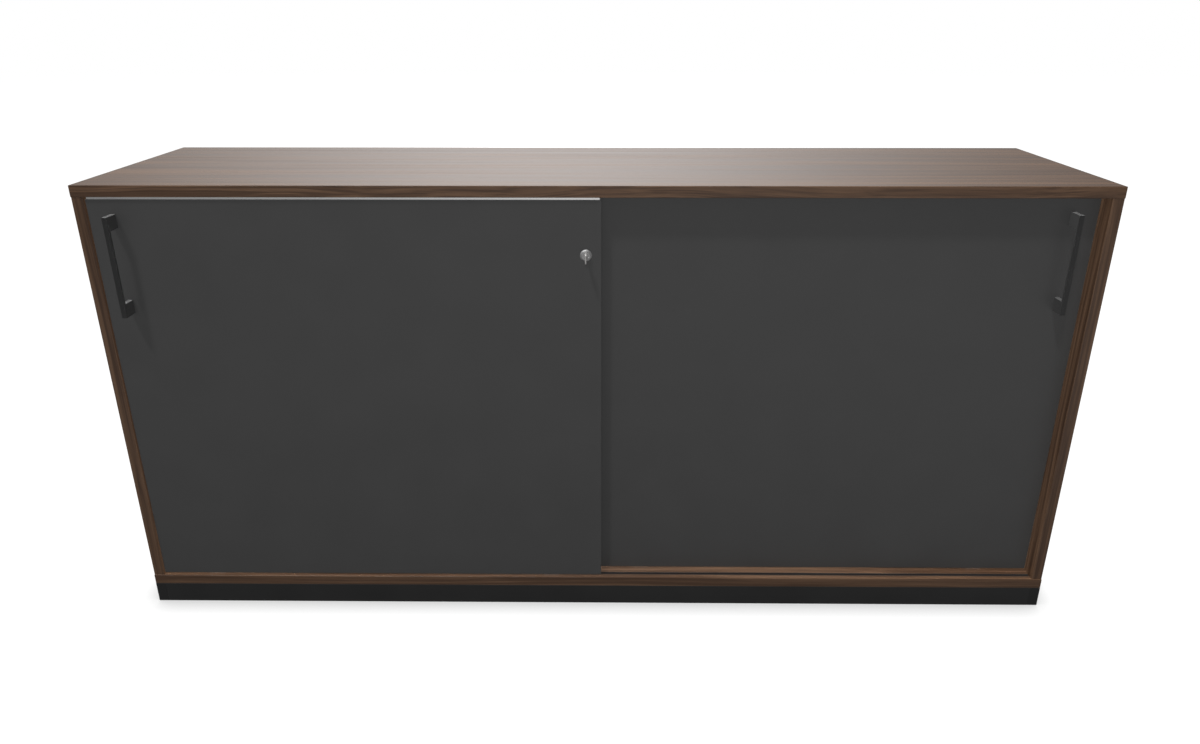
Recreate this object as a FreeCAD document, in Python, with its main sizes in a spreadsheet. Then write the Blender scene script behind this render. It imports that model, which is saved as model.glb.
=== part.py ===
import FreeCAD, Part
import os
import re

import Sketcher

# Sliding door cabinet: a boarded carcass on a plinth, two doors that slide past each other on rollers in
# floor tracks, held at the head by sprung guide pins, with a bow handle each and a push lock between them.
# A bright metal strip along each door's head closes the gap to the top panel.
# Millimetres. X runs to the right, Y to the back and Z up. The origin is on the floor, under the middle.

Vector = FreeCAD.Vector
doc = FreeCAD.newDocument("sliding_door_cabinet")

SIZES = [
    ("width", 1600, "carcass width"),
    ("depth", 400, "carcass depth"),
    ("height", 757, "height from the floor to the top"),
    ("board", 18, "carcass board thickness"),
    ("band", 2, "edge band thickness"),
    ("side_setback", 1.5, "side panels' front edge behind the top and bottom panels"),
    ("plinth_height", 37, "plinth height"),
    ("plinth_board", 18, "plinth board thickness"),
    ("back_board", 8, "back panel thickness"),
    ("back_inset", 10, "back panel in front of the carcass's rear edge"),
    ("back_groove", 6, "depth of the back panel's groove"),
    ("panel_play", 0.2, "play of a loose panel at its edges"),
    ("storage_gap", 4, "rear door to the partition's front edge"),
    ("shelf_rise", 333, "bottom panel to the shelf's underside"),
    ("shelf_setback", 20, "shelf's front edge behind the partition's"),
    ("shelf_play", 0.5, "play at each shelf end"),
    ("pin_radius", 2.5, "shelf pin radius"),
    ("pin_depth", 8, "shelf pin inside its board"),
    ("pin_reach", 9, "shelf pin out of its board"),
    ("pin_inset", 50, "shelf pin from the shelf's front and back edges"),
    ("hole_pitch", 32, "pitch of the shelf pin holes"),
    ("dowel_radius", 4, "carcass dowel radius"),
    ("dowel_bite", 12, "dowel inside the top or bottom panel"),
    ("dowel_stem", 20, "dowel inside the upright board"),
    ("dowel_inset", 50, "dowel from the upright's front and back edges"),
    ("fit_gap", 0.05, "clearance of a fixed or running fit, each side"),
    ("door_board", 18, "door thickness"),
    ("door_setback", 4.5, "front door's face behind the carcass front"),
    ("lane_gap", 8, "gap between the two doors"),
    ("door_overlap", 18, "overlap of the closed doors"),
    ("door_side_gap", 1, "closed door to its side panel"),
    ("door_foot_gap", 2.8, "door above the bottom panel"),
    ("door_head_gap", 4, "door below the top panel"),
    ("door_stop_margin", 4, "open door's edge to the other door's handle"),
    ("head_strip_board", 1.5, "head strip thickness"),
    ("head_strip_setback", 0.5, "head strip behind its door's face"),
    ("head_strip_gap", 0.5, "head strip below the top panel"),
    ("buffer_radius", 4, "door buffer radius"),
    ("buffer_gap", 0.3, "closed door to its buffers"),
    ("buffer_stem_radius", 2.5, "buffer stem radius"),
    ("buffer_stem", 6, "buffer stem length"),
    ("buffer_inset", 80, "buffer from the door's foot and head"),
    ("track_width", 7, "track width"),
    ("track_wall", 1, "track wall"),
    ("lower_track_depth", 8, "depth of a lower track"),
    ("upper_track_depth", 10, "depth of an upper track"),
    ("stop_length", 20, "length of an end stop in an upper track"),
    ("stop_gap", 0.3, "end stop to the open door's guide pin"),
    ("roller_radius", 14, "roller radius"),
    ("roller_gap", 0.3, "roller above its track"),
    ("roller_side_gap", 0.5, "roller's play at each side"),
    ("roller_rim_gap", 1, "roller's rim to its housing"),
    ("roller_inset", 90, "roller and guide pin from the door's edges"),
    ("axle_radius", 2, "roller axle radius"),
    ("housing_cheek", 3, "roller housing's cheek thickness"),
    ("housing_end", 5, "roller housing beyond the roller"),
    ("guide_gap", 0.3, "guide pin's play in its track, each side"),
    ("guide_bite", 6, "guide pin inside its track"),
    ("collar_radius", 4, "guide pin collar radius"),
    ("collar_height", 4, "guide pin collar height"),
    ("socket_cap", 3, "socket above the guide pin's collar"),
    ("socket_wall", 2, "socket wall round the spring and under it"),
    ("guide_spring_length", 24, "guide spring length at rest"),
    ("spring_wire", 0.8, "wall of a spring's sleeve"),
    ("handle_length", 160, "handle length"),
    ("handle_width", 8, "handle width"),
    ("handle_reach", 28, "handle out of the door"),
    ("handle_bar", 4.5, "handle bar thickness"),
    ("handle_post", 22, "handle post height"),
    ("handle_round", 0.5, "handle edge rounding"),
    ("handle_inset", 39, "handle's middle from the door's outer edge"),
    ("handle_drop", 22.5, "handle's top below the door's head"),
    ("screw_radius", 2, "screw radius"),
    ("screw_head_radius", 4, "countersunk head radius"),
    ("screw_head", 2.4, "countersunk head depth"),
    ("screw_grip", 11, "handle screw inside the handle's post"),
    ("lock_backset", 23.5, "lock's axis from the front door's inner edge"),
    ("lock_drop", 86.5, "lock's axis below the door's head"),
    ("rosette_radius", 9.3, "lock rosette radius"),
    ("rosette_rise", 2.5, "lock rosette out of the door"),
    ("rosette_lip", 0.6, "flat lip round the barrel"),
    ("rosette_edge", 0.7, "rosette's upright outer edge"),
    ("lock_body_radius", 8, "lock housing radius"),
    ("lock_wall", 2.5, "lock housing's rear wall"),
    ("lock_travel", 6, "push of the lock"),
    ("lock_spring_solid", 2.5, "lock spring when pressed"),
    ("barrel_radius", 6.5, "lock barrel radius"),
    ("barrel_proud", 4, "barrel out of the rosette"),
    ("barrel_chamfer", 0.4, "barrel's front edge"),
    ("bolt_radius", 3.5, "bolt radius"),
    ("bolt_recess", 0.2, "drawn bolt below the door's back"),
    ("plug_radius", 4.5, "plug radius"),
    ("plug_length", 11, "plug length"),
    ("key_plate", 2.2, "key thickness"),
    ("key_blade", 7, "key blade height"),
    ("key_depth", 9, "key inside the plug"),
    ("key_neck", 3, "key between the plug and the bow"),
    ("key_bow_length", 19.5, "key bow length"),
    ("key_bow_height", 15, "key bow height"),
    ("key_corner", 3, "key bow corner radius"),
    ("key_eye_inset", 5.5, "key ring hole's middle from the bow's end"),
    ("key_eye_radius", 2.5, "key ring hole radius"),
    ("strike_plate_board", 1.2, "strike plate thickness"),
    ("strike_proud", 5.5, "strike plate out of the rear door's face"),
    ("strike_height", 30, "strike plate height"),
    ("strike_margin", 2, "strike plate short of the rear door's back"),
    ("strike_screw_inset", 7, "strike screw from the plate's ends"),
    ("strike_screw_radius", 1.25, "strike screw radius"),
    ("strike_head_radius", 2.4, "strike screw head radius"),
    ("strike_screw_length", 14, "strike screw length"),
    ("leveller_inset", 45, "leveller's axis from the plinth boards"),
    ("leveller_housing_radius", 18, "leveller housing radius"),
    ("leveller_housing_height", 20, "leveller housing height"),
    ("leveller_stem_radius", 5, "leveller stem radius"),
    ("leveller_stem_top", 4, "top of the leveller stem below the bottom panel"),
    ("leveller_pad_radius", 15, "leveller pad radius"),
    ("leveller_pad", 6, "leveller pad height"),
    ("leveller_clear", 0.3, "leveller pad above the floor when it is screwed in"),
]

PLACES = [
    ("front", "-depth / 2"),
    ("rear", "depth / 2"),
    ("inner_side", "width / 2 - board"),
    ("inner_floor", "plinth_height + board"),
    ("ceiling", "height - board"),
    ("front_lane", "front + door_setback"),
    ("rear_lane", "front_lane + door_board + lane_gap"),
    ("door_width", "inner_side - door_side_gap + door_overlap / 2"),
    ("door_foot", "inner_floor + door_foot_gap"),
    ("door_top", "ceiling - door_head_gap"),
    ("front_door_left", "door_side_gap - inner_side"),
    ("front_door_right", "front_door_left + door_width"),
    ("rear_door_right", "inner_side - door_side_gap"),
    ("rear_door_left", "rear_door_right - door_width"),
    ("storage_front", "rear_lane + door_board + storage_gap"),
    ("storage_back", "rear - back_inset - back_board"),
    ("shelf_front", "storage_front + shelf_setback"),
    ("shelf_back", "storage_back - shelf_play"),
    ("shelf_under", "inner_floor + shelf_rise"),
    ("pin_level", "shelf_under - pin_radius - fit_gap"),
    ("channel_width", "track_width - 2 * track_wall"),
    ("roller_width", "channel_width - 2 * roller_side_gap"),
    ("roller_level", "inner_floor - lower_track_depth + track_wall + roller_gap + roller_radius"),
    ("housing_half", "roller_radius + roller_rim_gap + housing_end"),
    ("housing_width", "channel_width + 2 * housing_cheek"),
    ("housing_top", "roller_level + roller_radius + roller_rim_gap + housing_cheek"),
    ("guide_radius", "channel_width / 2 - guide_gap"),
    ("guide_top", "ceiling + guide_bite"),
    ("collar_top", "door_top - socket_cap - fit_gap"),
    ("spring_top", "collar_top - collar_height"),
    ("spring_foot", "spring_top - guide_spring_length"),
    ("socket_foot", "spring_foot - socket_wall"),
    ("bore_radius", "collar_radius + fit_gap"),
    ("socket_half", "bore_radius + socket_wall"),
    ("front_handle_middle", "front_door_left + handle_inset"),
    ("rear_handle_middle", "rear_door_right - handle_inset"),
    ("handle_level", "door_top - handle_drop - handle_length / 2"),
    ("handle_screw_offset", "(handle_length - handle_post) / 2"),
    ("door_travel", "rear_handle_middle - handle_width / 2 - door_stop_margin - front_door_right"),
    ("stop_face", "front_door_right - roller_inset + door_travel + guide_radius + stop_gap"),
    ("lock_middle", "front_door_right - lock_backset"),
    ("lock_level", "door_top - lock_drop"),
    ("barrel_front", "-rosette_rise - barrel_proud"),
    ("barrel_shoulder", "door_board - lock_wall - lock_travel - lock_spring_solid"),
    ("key_shoulder", "barrel_front - key_neck"),
    ("leveller_side", "width / 2 - plinth_board - leveller_inset"),
    ("leveller_end", "depth / 2 - plinth_board - leveller_inset"),
]

SIZE_NAMES = {name for name, value, note in SIZES}
PLACE_NAMES = {name for name, formula in PLACES}


def linked(text, inside_places=False):
    """Spell out which sheet each name of a formula belongs to."""

    def owner(match):
        name = match.group()
        if name in SIZE_NAMES:
            return "sizes." + name
        if name in PLACE_NAMES and not inside_places:
            return "places." + name
        return name

    return re.sub(r"[a-z_]+", owner, text)


def make_sheets():
    """The driving dimensions, and the places worked out from them."""
    sheet = doc.addObject("Spreadsheet::Sheet", "sizes")
    for row, (name, value, note) in enumerate(SIZES, 1):
        sheet.set(f"A{row}", note)
        sheet.set(f"B{row}", str(value))
        sheet.setAlias(f"B{row}", name)
    places = doc.addObject("Spreadsheet::Sheet", "places")
    for row, (name, formula) in enumerate(PLACES, 1):
        places.set(f"A{row}", name)
        places.setAlias(f"B{row}", name)
        places.set(f"B{row}", "=" + linked(formula, inside_places=True))
    doc.recompute()
    return sheet


sizes = make_sheets()
nodes = []


def number(text):
    """The value of a formula at the present sizes."""
    return float(sizes.evalExpression(linked(text)))


def at(piece, place):
    """Bind a piece's position to the sheets."""
    for axis, text in zip("xyz", place):
        piece.setExpression("Placement.Base." + axis, linked(text))
    return piece


def node(piece, name):
    """Name a finished sub-part, which is then written out."""
    piece.Label = name
    nodes.append(piece)
    return piece


def block(name, low, high):
    """A rectangular piece between two corners."""
    piece = doc.addObject("Part::Box", name)
    for side, a, b in zip(("Length", "Width", "Height"), low, high):
        piece.setExpression(side, linked(f"({b}) - ({a})"))
    return at(piece, low)


TURNS = {
    "x": FreeCAD.Rotation(Vector(0, 1, 0), 90),
    "y": FreeCAD.Rotation(Vector(1, 0, 0), -90),
    "z": FreeCAD.Rotation(),
}


def rod(name, axis, start, radius, length):
    """A round piece that runs from its start along the named axis."""
    piece = doc.addObject("Part::Cylinder", name)
    piece.Placement = FreeCAD.Placement(Vector(), TURNS[axis])
    piece.setExpression("Radius", linked(radius))
    piece.setExpression("Height", linked(length))
    return at(piece, start)


def cone(name, axis, start, first_radius, last_radius, length):
    """A tapered round piece that runs from its start along the named axis."""
    piece = doc.addObject("Part::Cone", name)
    piece.Placement = FreeCAD.Placement(Vector(), TURNS[axis])
    piece.setExpression("Radius1", linked(first_radius))
    piece.setExpression("Radius2", linked(last_radius))
    piece.setExpression("Height", linked(length))
    return at(piece, start)


def group(name, pieces):
    """Separate solids kept together."""
    piece = doc.addObject("Part::Compound", name)
    piece.Links = pieces
    return piece


def cut(name, base, tools):
    """A piece with pockets taken out of it."""
    piece = doc.addObject("Part::Cut", name)
    piece.Base = base
    piece.Tool = group(name + "_pockets", tools)
    return piece


def joined(name, first, second):
    """Two solids made one."""
    piece = doc.addObject("Part::Fuse", name)
    piece.Base = first
    piece.Tool = second
    return piece


def outline(body, plane, corners):
    """A closed sketch of straight edges, each corner bound to the sheets."""
    sketch = body.newObject("Sketcher::SketchObject", body.Name + "_outline")
    support = next(f for f in body.Origin.OriginFeatures if f.Role == plane)
    sketch.AttachmentSupport = [(support, "")]
    sketch.MapMode = "FlatFace"
    points = [Vector(number(a), number(b), 0) for a, b in corners]
    count = len(corners)
    for i in range(count):
        sketch.addGeometry(Part.LineSegment(points[i], points[(i + 1) % count]))
    for i in range(count):
        sketch.addConstraint(Sketcher.Constraint("Coincident", i, 2, (i + 1) % count, 1))
    for i, corner in enumerate(corners):
        for kind, text, value in zip(("DistanceX", "DistanceY"), corner, points[i]):
            index = sketch.addConstraint(Sketcher.Constraint(kind, -1, 1, i, 1, value))
            sketch.setExpression(f"Constraints[{index}]", linked(text))
    return sketch


def turned(name, plane, corners, place):
    """A turned piece: an outline of (radius, height) corners swung about its upright axis."""
    body = doc.addObject("PartDesign::Body", name)
    sketch = outline(body, plane, corners)
    turn = body.newObject("PartDesign::Revolution", name + "_turn")
    turn.Profile = sketch
    turn.ReferenceAxis = (sketch, ["V_Axis"])
    turn.Angle = 360
    sketch.Visibility = False
    return at(body, place)


def extruded(name, corners, width, place):
    """A piece of one (Y, Z) outline, as wide along X as the formula says, centred on its place."""
    body = doc.addObject("PartDesign::Body", name)
    sketch = outline(body, "YZ_Plane", corners)
    pad = body.newObject("PartDesign::Pad", name + "_pad")
    pad.Profile = sketch
    pad.SideType = "Symmetric"
    pad.setExpression("Length", linked(width))
    sketch.Visibility = False
    return at(body, place)


def rounded(body, radius, edges):
    """Round the chosen edges of a body's last feature."""
    doc.recompute()
    base = body.Tip
    fillet = body.newObject("PartDesign::Fillet", body.Name + "_round")
    fillet.Base = (base, edges(base.Shape))
    fillet.setExpression("Radius", linked(radius))
    return body


def every_edge(shape):
    """All edges of a shape."""
    return [f"Edge{i}" for i in range(1, len(shape.Edges) + 1)]


LEFT = "-inner_side"
RIGHT = "inner_side"
FLOOR = "inner_floor"
DOOR_MIDDLE = "{lane} + door_board / 2"
FRONT_MIDDLE = DOOR_MIDDLE.format(lane="front_lane")
REAR_MIDDLE = DOOR_MIDDLE.format(lane="rear_lane")


# Dowels that join the uprights to the top and bottom panels

SIDE_DOWELS = ["front + dowel_inset", "0", "rear - dowel_inset"]
PARTITION_DOWELS = ["storage_front + dowel_inset", "storage_back - dowel_inset"]


def dowel_row(name, middle, rows, extra):
    """One upright's dowels, at its foot and its head, wider by the extra radius."""
    pieces = []
    for i, y in enumerate(rows):
        for end, start in (("foot", "inner_floor - dowel_bite"), ("head", "ceiling - dowel_stem")):
            place = (middle, y, f"{start} - {extra}")
            length = f"dowel_bite + dowel_stem + 2 * {extra}"
            pieces.append(rod(f"{name}_{end}_{i}", "z", place, f"dowel_radius + {extra}", length))
    return pieces


UPRIGHTS = {
    "left": ("-inner_side - board / 2", SIDE_DOWELS),
    "right": ("inner_side + board / 2", SIDE_DOWELS),
    "middle": ("0", PARTITION_DOWELS),
}
dowels = []
dowel_holes = {}
for side, (middle, rows) in UPRIGHTS.items():
    dowels += dowel_row(side + "_dowel", middle, rows, "0")
    dowel_holes[side] = dowel_row(side + "_dowel_hole", middle, rows, "fit_gap")
all_dowel_holes = sum(dowel_holes.values(), [])
node(group("dowels", dowels), "carcass_dowels")


# Top and bottom panels with their track and back panel grooves

def track_groove(name, middle, low, high):
    """A groove for a track, the length of the inside."""
    half = "track_width / 2"
    return block(name, (LEFT, f"{middle} - {half}", low), (RIGHT, f"{middle} + {half}", high))


def flat_panel(name, low, high, grooves):
    """A full-width board inside its edge bands."""
    core = block(
        name + "_core",
        ("-width / 2 + band", "front + band", low),
        ("width / 2 - band", "rear - band", high),
    )
    return node(cut(name + "_cut", core, grooves + all_dowel_holes), name)


def flat_bands(name, low, high):
    """Edge bands on the front, back and ends of a full-width board."""
    left = "-width / 2"
    right = "width / 2"
    return [
        block(name + "_front_band", (left, "front", low), (right, "front + band", high)),
        block(name + "_back_band", (left, "rear - band", low), (right, "rear", high)),
        block(name + "_left_band", (left, "front + band", low), (f"{left} + band", "rear - band", high)),
        block(name + "_right_band", (f"{right} - band", "front + band", low), (right, "rear - band", high)),
    ]


back_slot = block(
    "back_slot",
    ("-inner_side - back_groove", "storage_back", "inner_floor - back_groove"),
    ("inner_side + back_groove", "storage_back + back_board", "ceiling + back_groove"),
)
LANES = {"front": FRONT_MIDDLE, "rear": REAR_MIDDLE}
lower_grooves = [
    track_groove(lane + "_lower_groove", middle, "inner_floor - lower_track_depth", FLOOR)
    for lane, middle in LANES.items()
]
upper_grooves = [
    track_groove(lane + "_upper_groove", middle, "ceiling", "ceiling + upper_track_depth")
    for lane, middle in LANES.items()
]
flat_panel("bottom_panel", "plinth_height", FLOOR, lower_grooves + [back_slot])
flat_panel("top_panel", "ceiling", "height", upper_grooves + [back_slot])
flat_edges = flat_bands("top", "ceiling", "height") + flat_bands("bottom", "plinth_height", FLOOR)
node(group("flat_edges", flat_edges), "horizontal_edge_bands")


# Shelf pins and the rows of holes that they fit

HOLE_STEPS = [-2, -1, 0, 1, 2]
PIN_FACES = {
    "left": (LEFT, -1),
    "partition_left": ("-board / 2", 1),
    "partition_right": ("board / 2", -1),
    "right": (RIGHT, 1),
}
PIN_ROWS = {"front": "shelf_front + pin_inset", "back": "shelf_back - pin_inset"}


def pin_holes(face):
    """Two rows of shelf pin holes in one upright's face, which its board lies to the given side of."""
    x, board_side = PIN_FACES[face]
    start = x if board_side > 0 else f"{x} - pin_depth - fit_gap"
    holes = []
    for row, y in PIN_ROWS.items():
        for step in HOLE_STEPS:
            name = f"{face}_{row}_hole_{step - HOLE_STEPS[0]}"
            place = (start, y, f"pin_level + {step} * hole_pitch")
            holes.append(rod(name, "x", place, "pin_radius + fit_gap", "pin_depth + fit_gap"))
    return holes


pins = []
for face, (x, board_side) in PIN_FACES.items():
    start = f"{x} - pin_reach" if board_side > 0 else f"{x} - pin_depth"
    for row, y in PIN_ROWS.items():
        name = f"{face}_{row}_pin"
        pins.append(rod(name, "x", (start, y, "pin_level"), "pin_radius", "pin_depth + pin_reach"))
node(group("pins", pins), "shelf_pins")


# Door buffers, with their stems in the side panels

BUFFER_ROWS = ["door_foot + buffer_inset", "door_top - buffer_inset"]
BUFFERS = {"left": (LEFT, FRONT_MIDDLE), "right": (RIGHT, REAR_MIDDLE)}
buffers = []
buffer_holes = {}
for side, (x, y) in BUFFERS.items():
    head = "door_side_gap - buffer_gap"
    head_start = x if side == "left" else f"{x} - ({head})"
    stem_start = f"{x} - buffer_stem" if side == "left" else x
    hole_start = f"{x} - buffer_stem - fit_gap" if side == "left" else x
    buffer_holes[side] = []
    for i, z in enumerate(BUFFER_ROWS):
        cap = rod(f"{side}_buffer_head_{i}", "x", (head_start, y, z), "buffer_radius", head)
        stem = rod(f"{side}_buffer_stem_{i}", "x", (stem_start, y, z), "buffer_stem_radius", "buffer_stem")
        buffers.append(joined(f"{side}_buffer_{i}", cap, stem))
        hole = rod(
            f"{side}_buffer_hole_{i}",
            "x",
            (hole_start, y, z),
            "buffer_stem_radius + fit_gap",
            "buffer_stem + fit_gap",
        )
        buffer_holes[side].append(hole)
node(group("buffers", buffers), "door_buffers")


# Side panels, partition, back panel and shelves

SIDE_FRONT = "front + side_setback"
SIDE_SPANS = {"left": ("-width / 2", LEFT), "right": (RIGHT, "width / 2")}
side_bands = []
for side, (low, high) in SIDE_SPANS.items():
    core = block(f"{side}_side_core", (low, f"{SIDE_FRONT} + band", FLOOR), (high, "rear", "ceiling"))
    pockets = [back_slot] + dowel_holes[side] + pin_holes(side) + buffer_holes[side]
    node(cut(f"{side}_side_cut", core, pockets), f"{side}_side_panel")
    strip = block(f"{side}_band", (low, SIDE_FRONT, FLOOR), (high, f"{SIDE_FRONT} + band", "ceiling"))
    side_bands.append(strip)
node(group("side_edges", side_bands), "upright_edge_bands")

partition_core = block(
    "partition_core", ("-board / 2", "storage_front", FLOOR), ("board / 2", "storage_back", "ceiling")
)
partition_pockets = dowel_holes["middle"] + pin_holes("partition_left") + pin_holes("partition_right")
node(cut("partition_cut", partition_core, partition_pockets), "centre_partition")

back_panel = block(
    "back_board",
    (
        "-inner_side - back_groove + panel_play",
        "storage_back",
        "inner_floor - back_groove + panel_play",
    ),
    (
        "inner_side + back_groove - panel_play",
        "storage_back + back_board",
        "ceiling + back_groove - panel_play",
    ),
)
node(back_panel, "back_panel")

SHELF_SPANS = {
    "left": ("-inner_side + shelf_play", "-board / 2 - shelf_play"),
    "right": ("board / 2 + shelf_play", "inner_side - shelf_play"),
}
for side, (low, high) in SHELF_SPANS.items():
    shelf = block(
        f"{side}_shelf_board",
        (low, "shelf_front", "shelf_under"),
        (high, "shelf_back", "shelf_under + board"),
    )
    node(shelf, f"{side}_shelf")


# Tracks, with an end stop in each upper one

def track_outline(rim, floor, inside):
    """A U-shaped section that is open at its rim."""
    half = "track_width / 2"
    inner = "channel_width / 2"
    return [
        (f"-{half}", rim),
        (f"-{half}", floor),
        (half, floor),
        (half, rim),
        (inner, rim),
        (inner, inside),
        (f"-{inner}", inside),
        (f"-{inner}", rim),
    ]


LOWER_TRACK = track_outline("0", "-lower_track_depth", "track_wall - lower_track_depth")
UPPER_TRACK = track_outline("0", "upper_track_depth", "upper_track_depth - track_wall")
for lane, middle in LANES.items():
    lower = extruded(f"{lane}_floor_channel", LOWER_TRACK, "2 * inner_side", ("0", middle, FLOOR))
    node(lower, f"{lane}_lower_track")
    upper = extruded(f"{lane}_head_channel", UPPER_TRACK, "2 * inner_side", ("0", middle, "ceiling"))
    node(upper, f"{lane}_upper_track")

STOP_SPANS = {
    "front": ("stop_face", "stop_face + stop_length"),
    "rear": ("-stop_face - stop_length", "-stop_face"),
}
stops = []
for lane, (low, high) in STOP_SPANS.items():
    half = "channel_width / 2 - fit_gap"
    stop = block(
        f"{lane}_stop",
        (low, f"{LANES[lane]} - ({half})", "ceiling"),
        (high, f"{LANES[lane]} + {half}", "ceiling + upper_track_depth - track_wall"),
    )
    stops.append(stop)
node(group("stops", stops), "track_stops")


# Plinth and its levellers

PLINTH_LEFT = "plinth_board - width / 2"
PLINTH_RIGHT = "width / 2 - plinth_board"
PLINTH_ENDS = {
    "left_end": (("-width / 2", "front"), (PLINTH_LEFT, "rear")),
    "right_end": ((PLINTH_RIGHT, "front"), ("width / 2", "rear")),
}
PLINTH_BOARDS = {
    "plinth_front": ((PLINTH_LEFT, "front"), (PLINTH_RIGHT, "front + plinth_board")),
    "plinth_back": ((PLINTH_LEFT, "rear - plinth_board"), (PLINTH_RIGHT, "rear")),
    "plinth_brace": (
        ("-plinth_board / 2", "front + plinth_board"),
        ("plinth_board / 2", "rear - plinth_board"),
    ),
}


def plinth_piece(name, low, high):
    """A plinth board between two corners of its plan, from the floor to the bottom panel."""
    return block(name, low + ("0",), high + ("plinth_height",))


ends = [plinth_piece(name, low, high) for name, (low, high) in PLINTH_ENDS.items()]
node(group("ends", ends), "plinth_ends")
for name, (low, high) in PLINTH_BOARDS.items():
    node(plinth_piece(name + "_board", low, high), name)

LEVELLERS = {
    "front_left": ("-leveller_side", "-leveller_end"),
    "front_right": ("leveller_side", "-leveller_end"),
    "rear_left": ("-leveller_side", "leveller_end"),
    "rear_right": ("leveller_side", "leveller_end"),
}
LEVELLER_TOP = "plinth_height - leveller_stem_top"
LEVELLER_FOOT = [
    ("0", "leveller_clear"),
    ("leveller_pad_radius", "leveller_clear"),
    ("leveller_pad_radius", "leveller_pad"),
    ("leveller_stem_radius", "leveller_pad"),
    ("leveller_stem_radius", LEVELLER_TOP),
    ("0", LEVELLER_TOP),
]
leveller_housings = []
for corner, (x, y) in LEVELLERS.items():
    shell = rod(
        f"{corner}_leveller_shell",
        "z",
        (x, y, "plinth_height - leveller_housing_height"),
        "leveller_housing_radius",
        "leveller_housing_height",
    )
    bore = rod(
        f"{corner}_leveller_bore",
        "z",
        (x, y, "plinth_height - leveller_housing_height"),
        "leveller_stem_radius + fit_gap",
        "leveller_housing_height - leveller_stem_top + fit_gap",
    )
    leveller_housings.append(cut(f"{corner}_leveller_housing", shell, [bore]))
    node(turned(f"{corner}_leveller_foot", "XZ_Plane", LEVELLER_FOOT, (x, y, "0")), f"{corner}_leveller")
node(group("leveller_shells", leveller_housings), "leveller_housings")


# Doors: board, edge bands, head strip, rollers, guide pins and handle

def countersunk(name, place, length, extra):
    """A countersunk screw, or its hole when it is wider by the extra; it runs forward from its head."""
    x, y, z = place
    head = cone(
        name + "_head",
        "y",
        (x, f"{y} - screw_head", z),
        f"screw_radius + {extra}",
        f"screw_head_radius + {extra}",
        "screw_head",
    )
    shank = rod(name + "_shank", "y", (x, f"{y} - ({length})", z), f"screw_radius + {extra}", length)
    return joined(name, head, shank)


def handle(door, middle, lane, screws):
    """A square bow handle with screw holes in its posts."""
    half = "handle_length / 2"
    post = "handle_length / 2 - handle_post"
    back = "handle_bar - handle_reach"
    corners = [
        ("0", half),
        ("-handle_reach", half),
        ("-handle_reach", f"-{half}"),
        ("0", f"-{half}"),
        ("0", f"-({post})"),
        (back, f"-({post})"),
        (back, post),
        ("0", post),
    ]
    bow = extruded(f"{door}_bow", corners, "handle_width", (middle, lane, "handle_level"))
    rounded(bow, "handle_round", every_edge)
    return node(cut(f"{door}_handle_cut", bow, screws), f"{door}_door_handle")


ROLLER = [
    ("axle_radius + fit_gap", "-roller_width / 2"),
    ("roller_radius", "-roller_width / 2"),
    ("roller_radius", "roller_width / 2"),
    ("axle_radius + fit_gap", "roller_width / 2"),
]
GUIDE_PIN = [
    ("0", "spring_top"),
    ("collar_radius", "spring_top"),
    ("collar_radius", "collar_top"),
    ("guide_radius", "collar_top"),
    ("guide_radius", "guide_top - guide_gap"),
    ("guide_radius - guide_gap", "guide_top"),
    ("0", "guide_top"),
]


def roller_set(door, side, x, y):
    """A roller, and its housing and axle."""
    half = "housing_width / 2"
    shell = block(
        f"{door}_{side}_roller_shell",
        (f"{x} - housing_half", f"{y} - {half}", "door_foot"),
        (f"{x} + housing_half", f"{y} + {half}", "housing_top"),
    )
    reach = "roller_radius + roller_rim_gap"
    slot = block(
        f"{door}_{side}_roller_slot",
        (f"{x} - ({reach})", f"{y} - channel_width / 2", "door_foot"),
        (f"{x} + {reach}", f"{y} + channel_width / 2", f"roller_level + {reach}"),
    )
    axle_place = (x, f"{y} - {half}", "roller_level")
    bore = rod(f"{door}_{side}_axle_bore", "y", axle_place, "axle_radius + fit_gap", "housing_width")
    axle = rod(f"{door}_{side}_axle", "y", axle_place, "axle_radius", "housing_width")
    wheel = turned(f"{door}_{side}_wheel", "XY_Plane", ROLLER, (x, y, "roller_level"))
    node(wheel, f"{door}_{side}_roller")
    return shell, cut(f"{door}_{side}_roller_housing", shell, [slot, bore]), axle


def guide_set(door, side, x, y):
    """A sprung guide pin, and its socket and spring."""
    shell = block(
        f"{door}_{side}_guide_shell",
        (f"{x} - socket_half", f"{y} - socket_half", "socket_foot"),
        (f"{x} + socket_half", f"{y} + socket_half", "door_top"),
    )
    bore = rod(
        f"{door}_{side}_guide_bore",
        "z",
        (x, y, "spring_foot"),
        "bore_radius",
        "guide_spring_length + collar_height + fit_gap",
    )
    mouth = rod(
        f"{door}_{side}_guide_mouth",
        "z",
        (x, y, "collar_top"),
        "guide_radius + fit_gap",
        "door_top - collar_top",
    )
    foot = (x, y, "spring_foot")
    outer = "collar_radius - fit_gap"
    coil = rod(f"{door}_{side}_coil", "z", foot, outer, "guide_spring_length")
    core = rod(f"{door}_{side}_coil_core", "z", foot, f"{outer} - spring_wire", "guide_spring_length")
    pin = turned(f"{door}_{side}_plunger", "XZ_Plane", GUIDE_PIN, (x, y, "0"))
    node(pin, f"{door}_{side}_guide_pin")
    socket = cut(f"{door}_{side}_guide_socket", shell, [bore, mouth])
    return shell, socket, cut(f"{door}_{side}_guide_spring", coil, [core])


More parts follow.
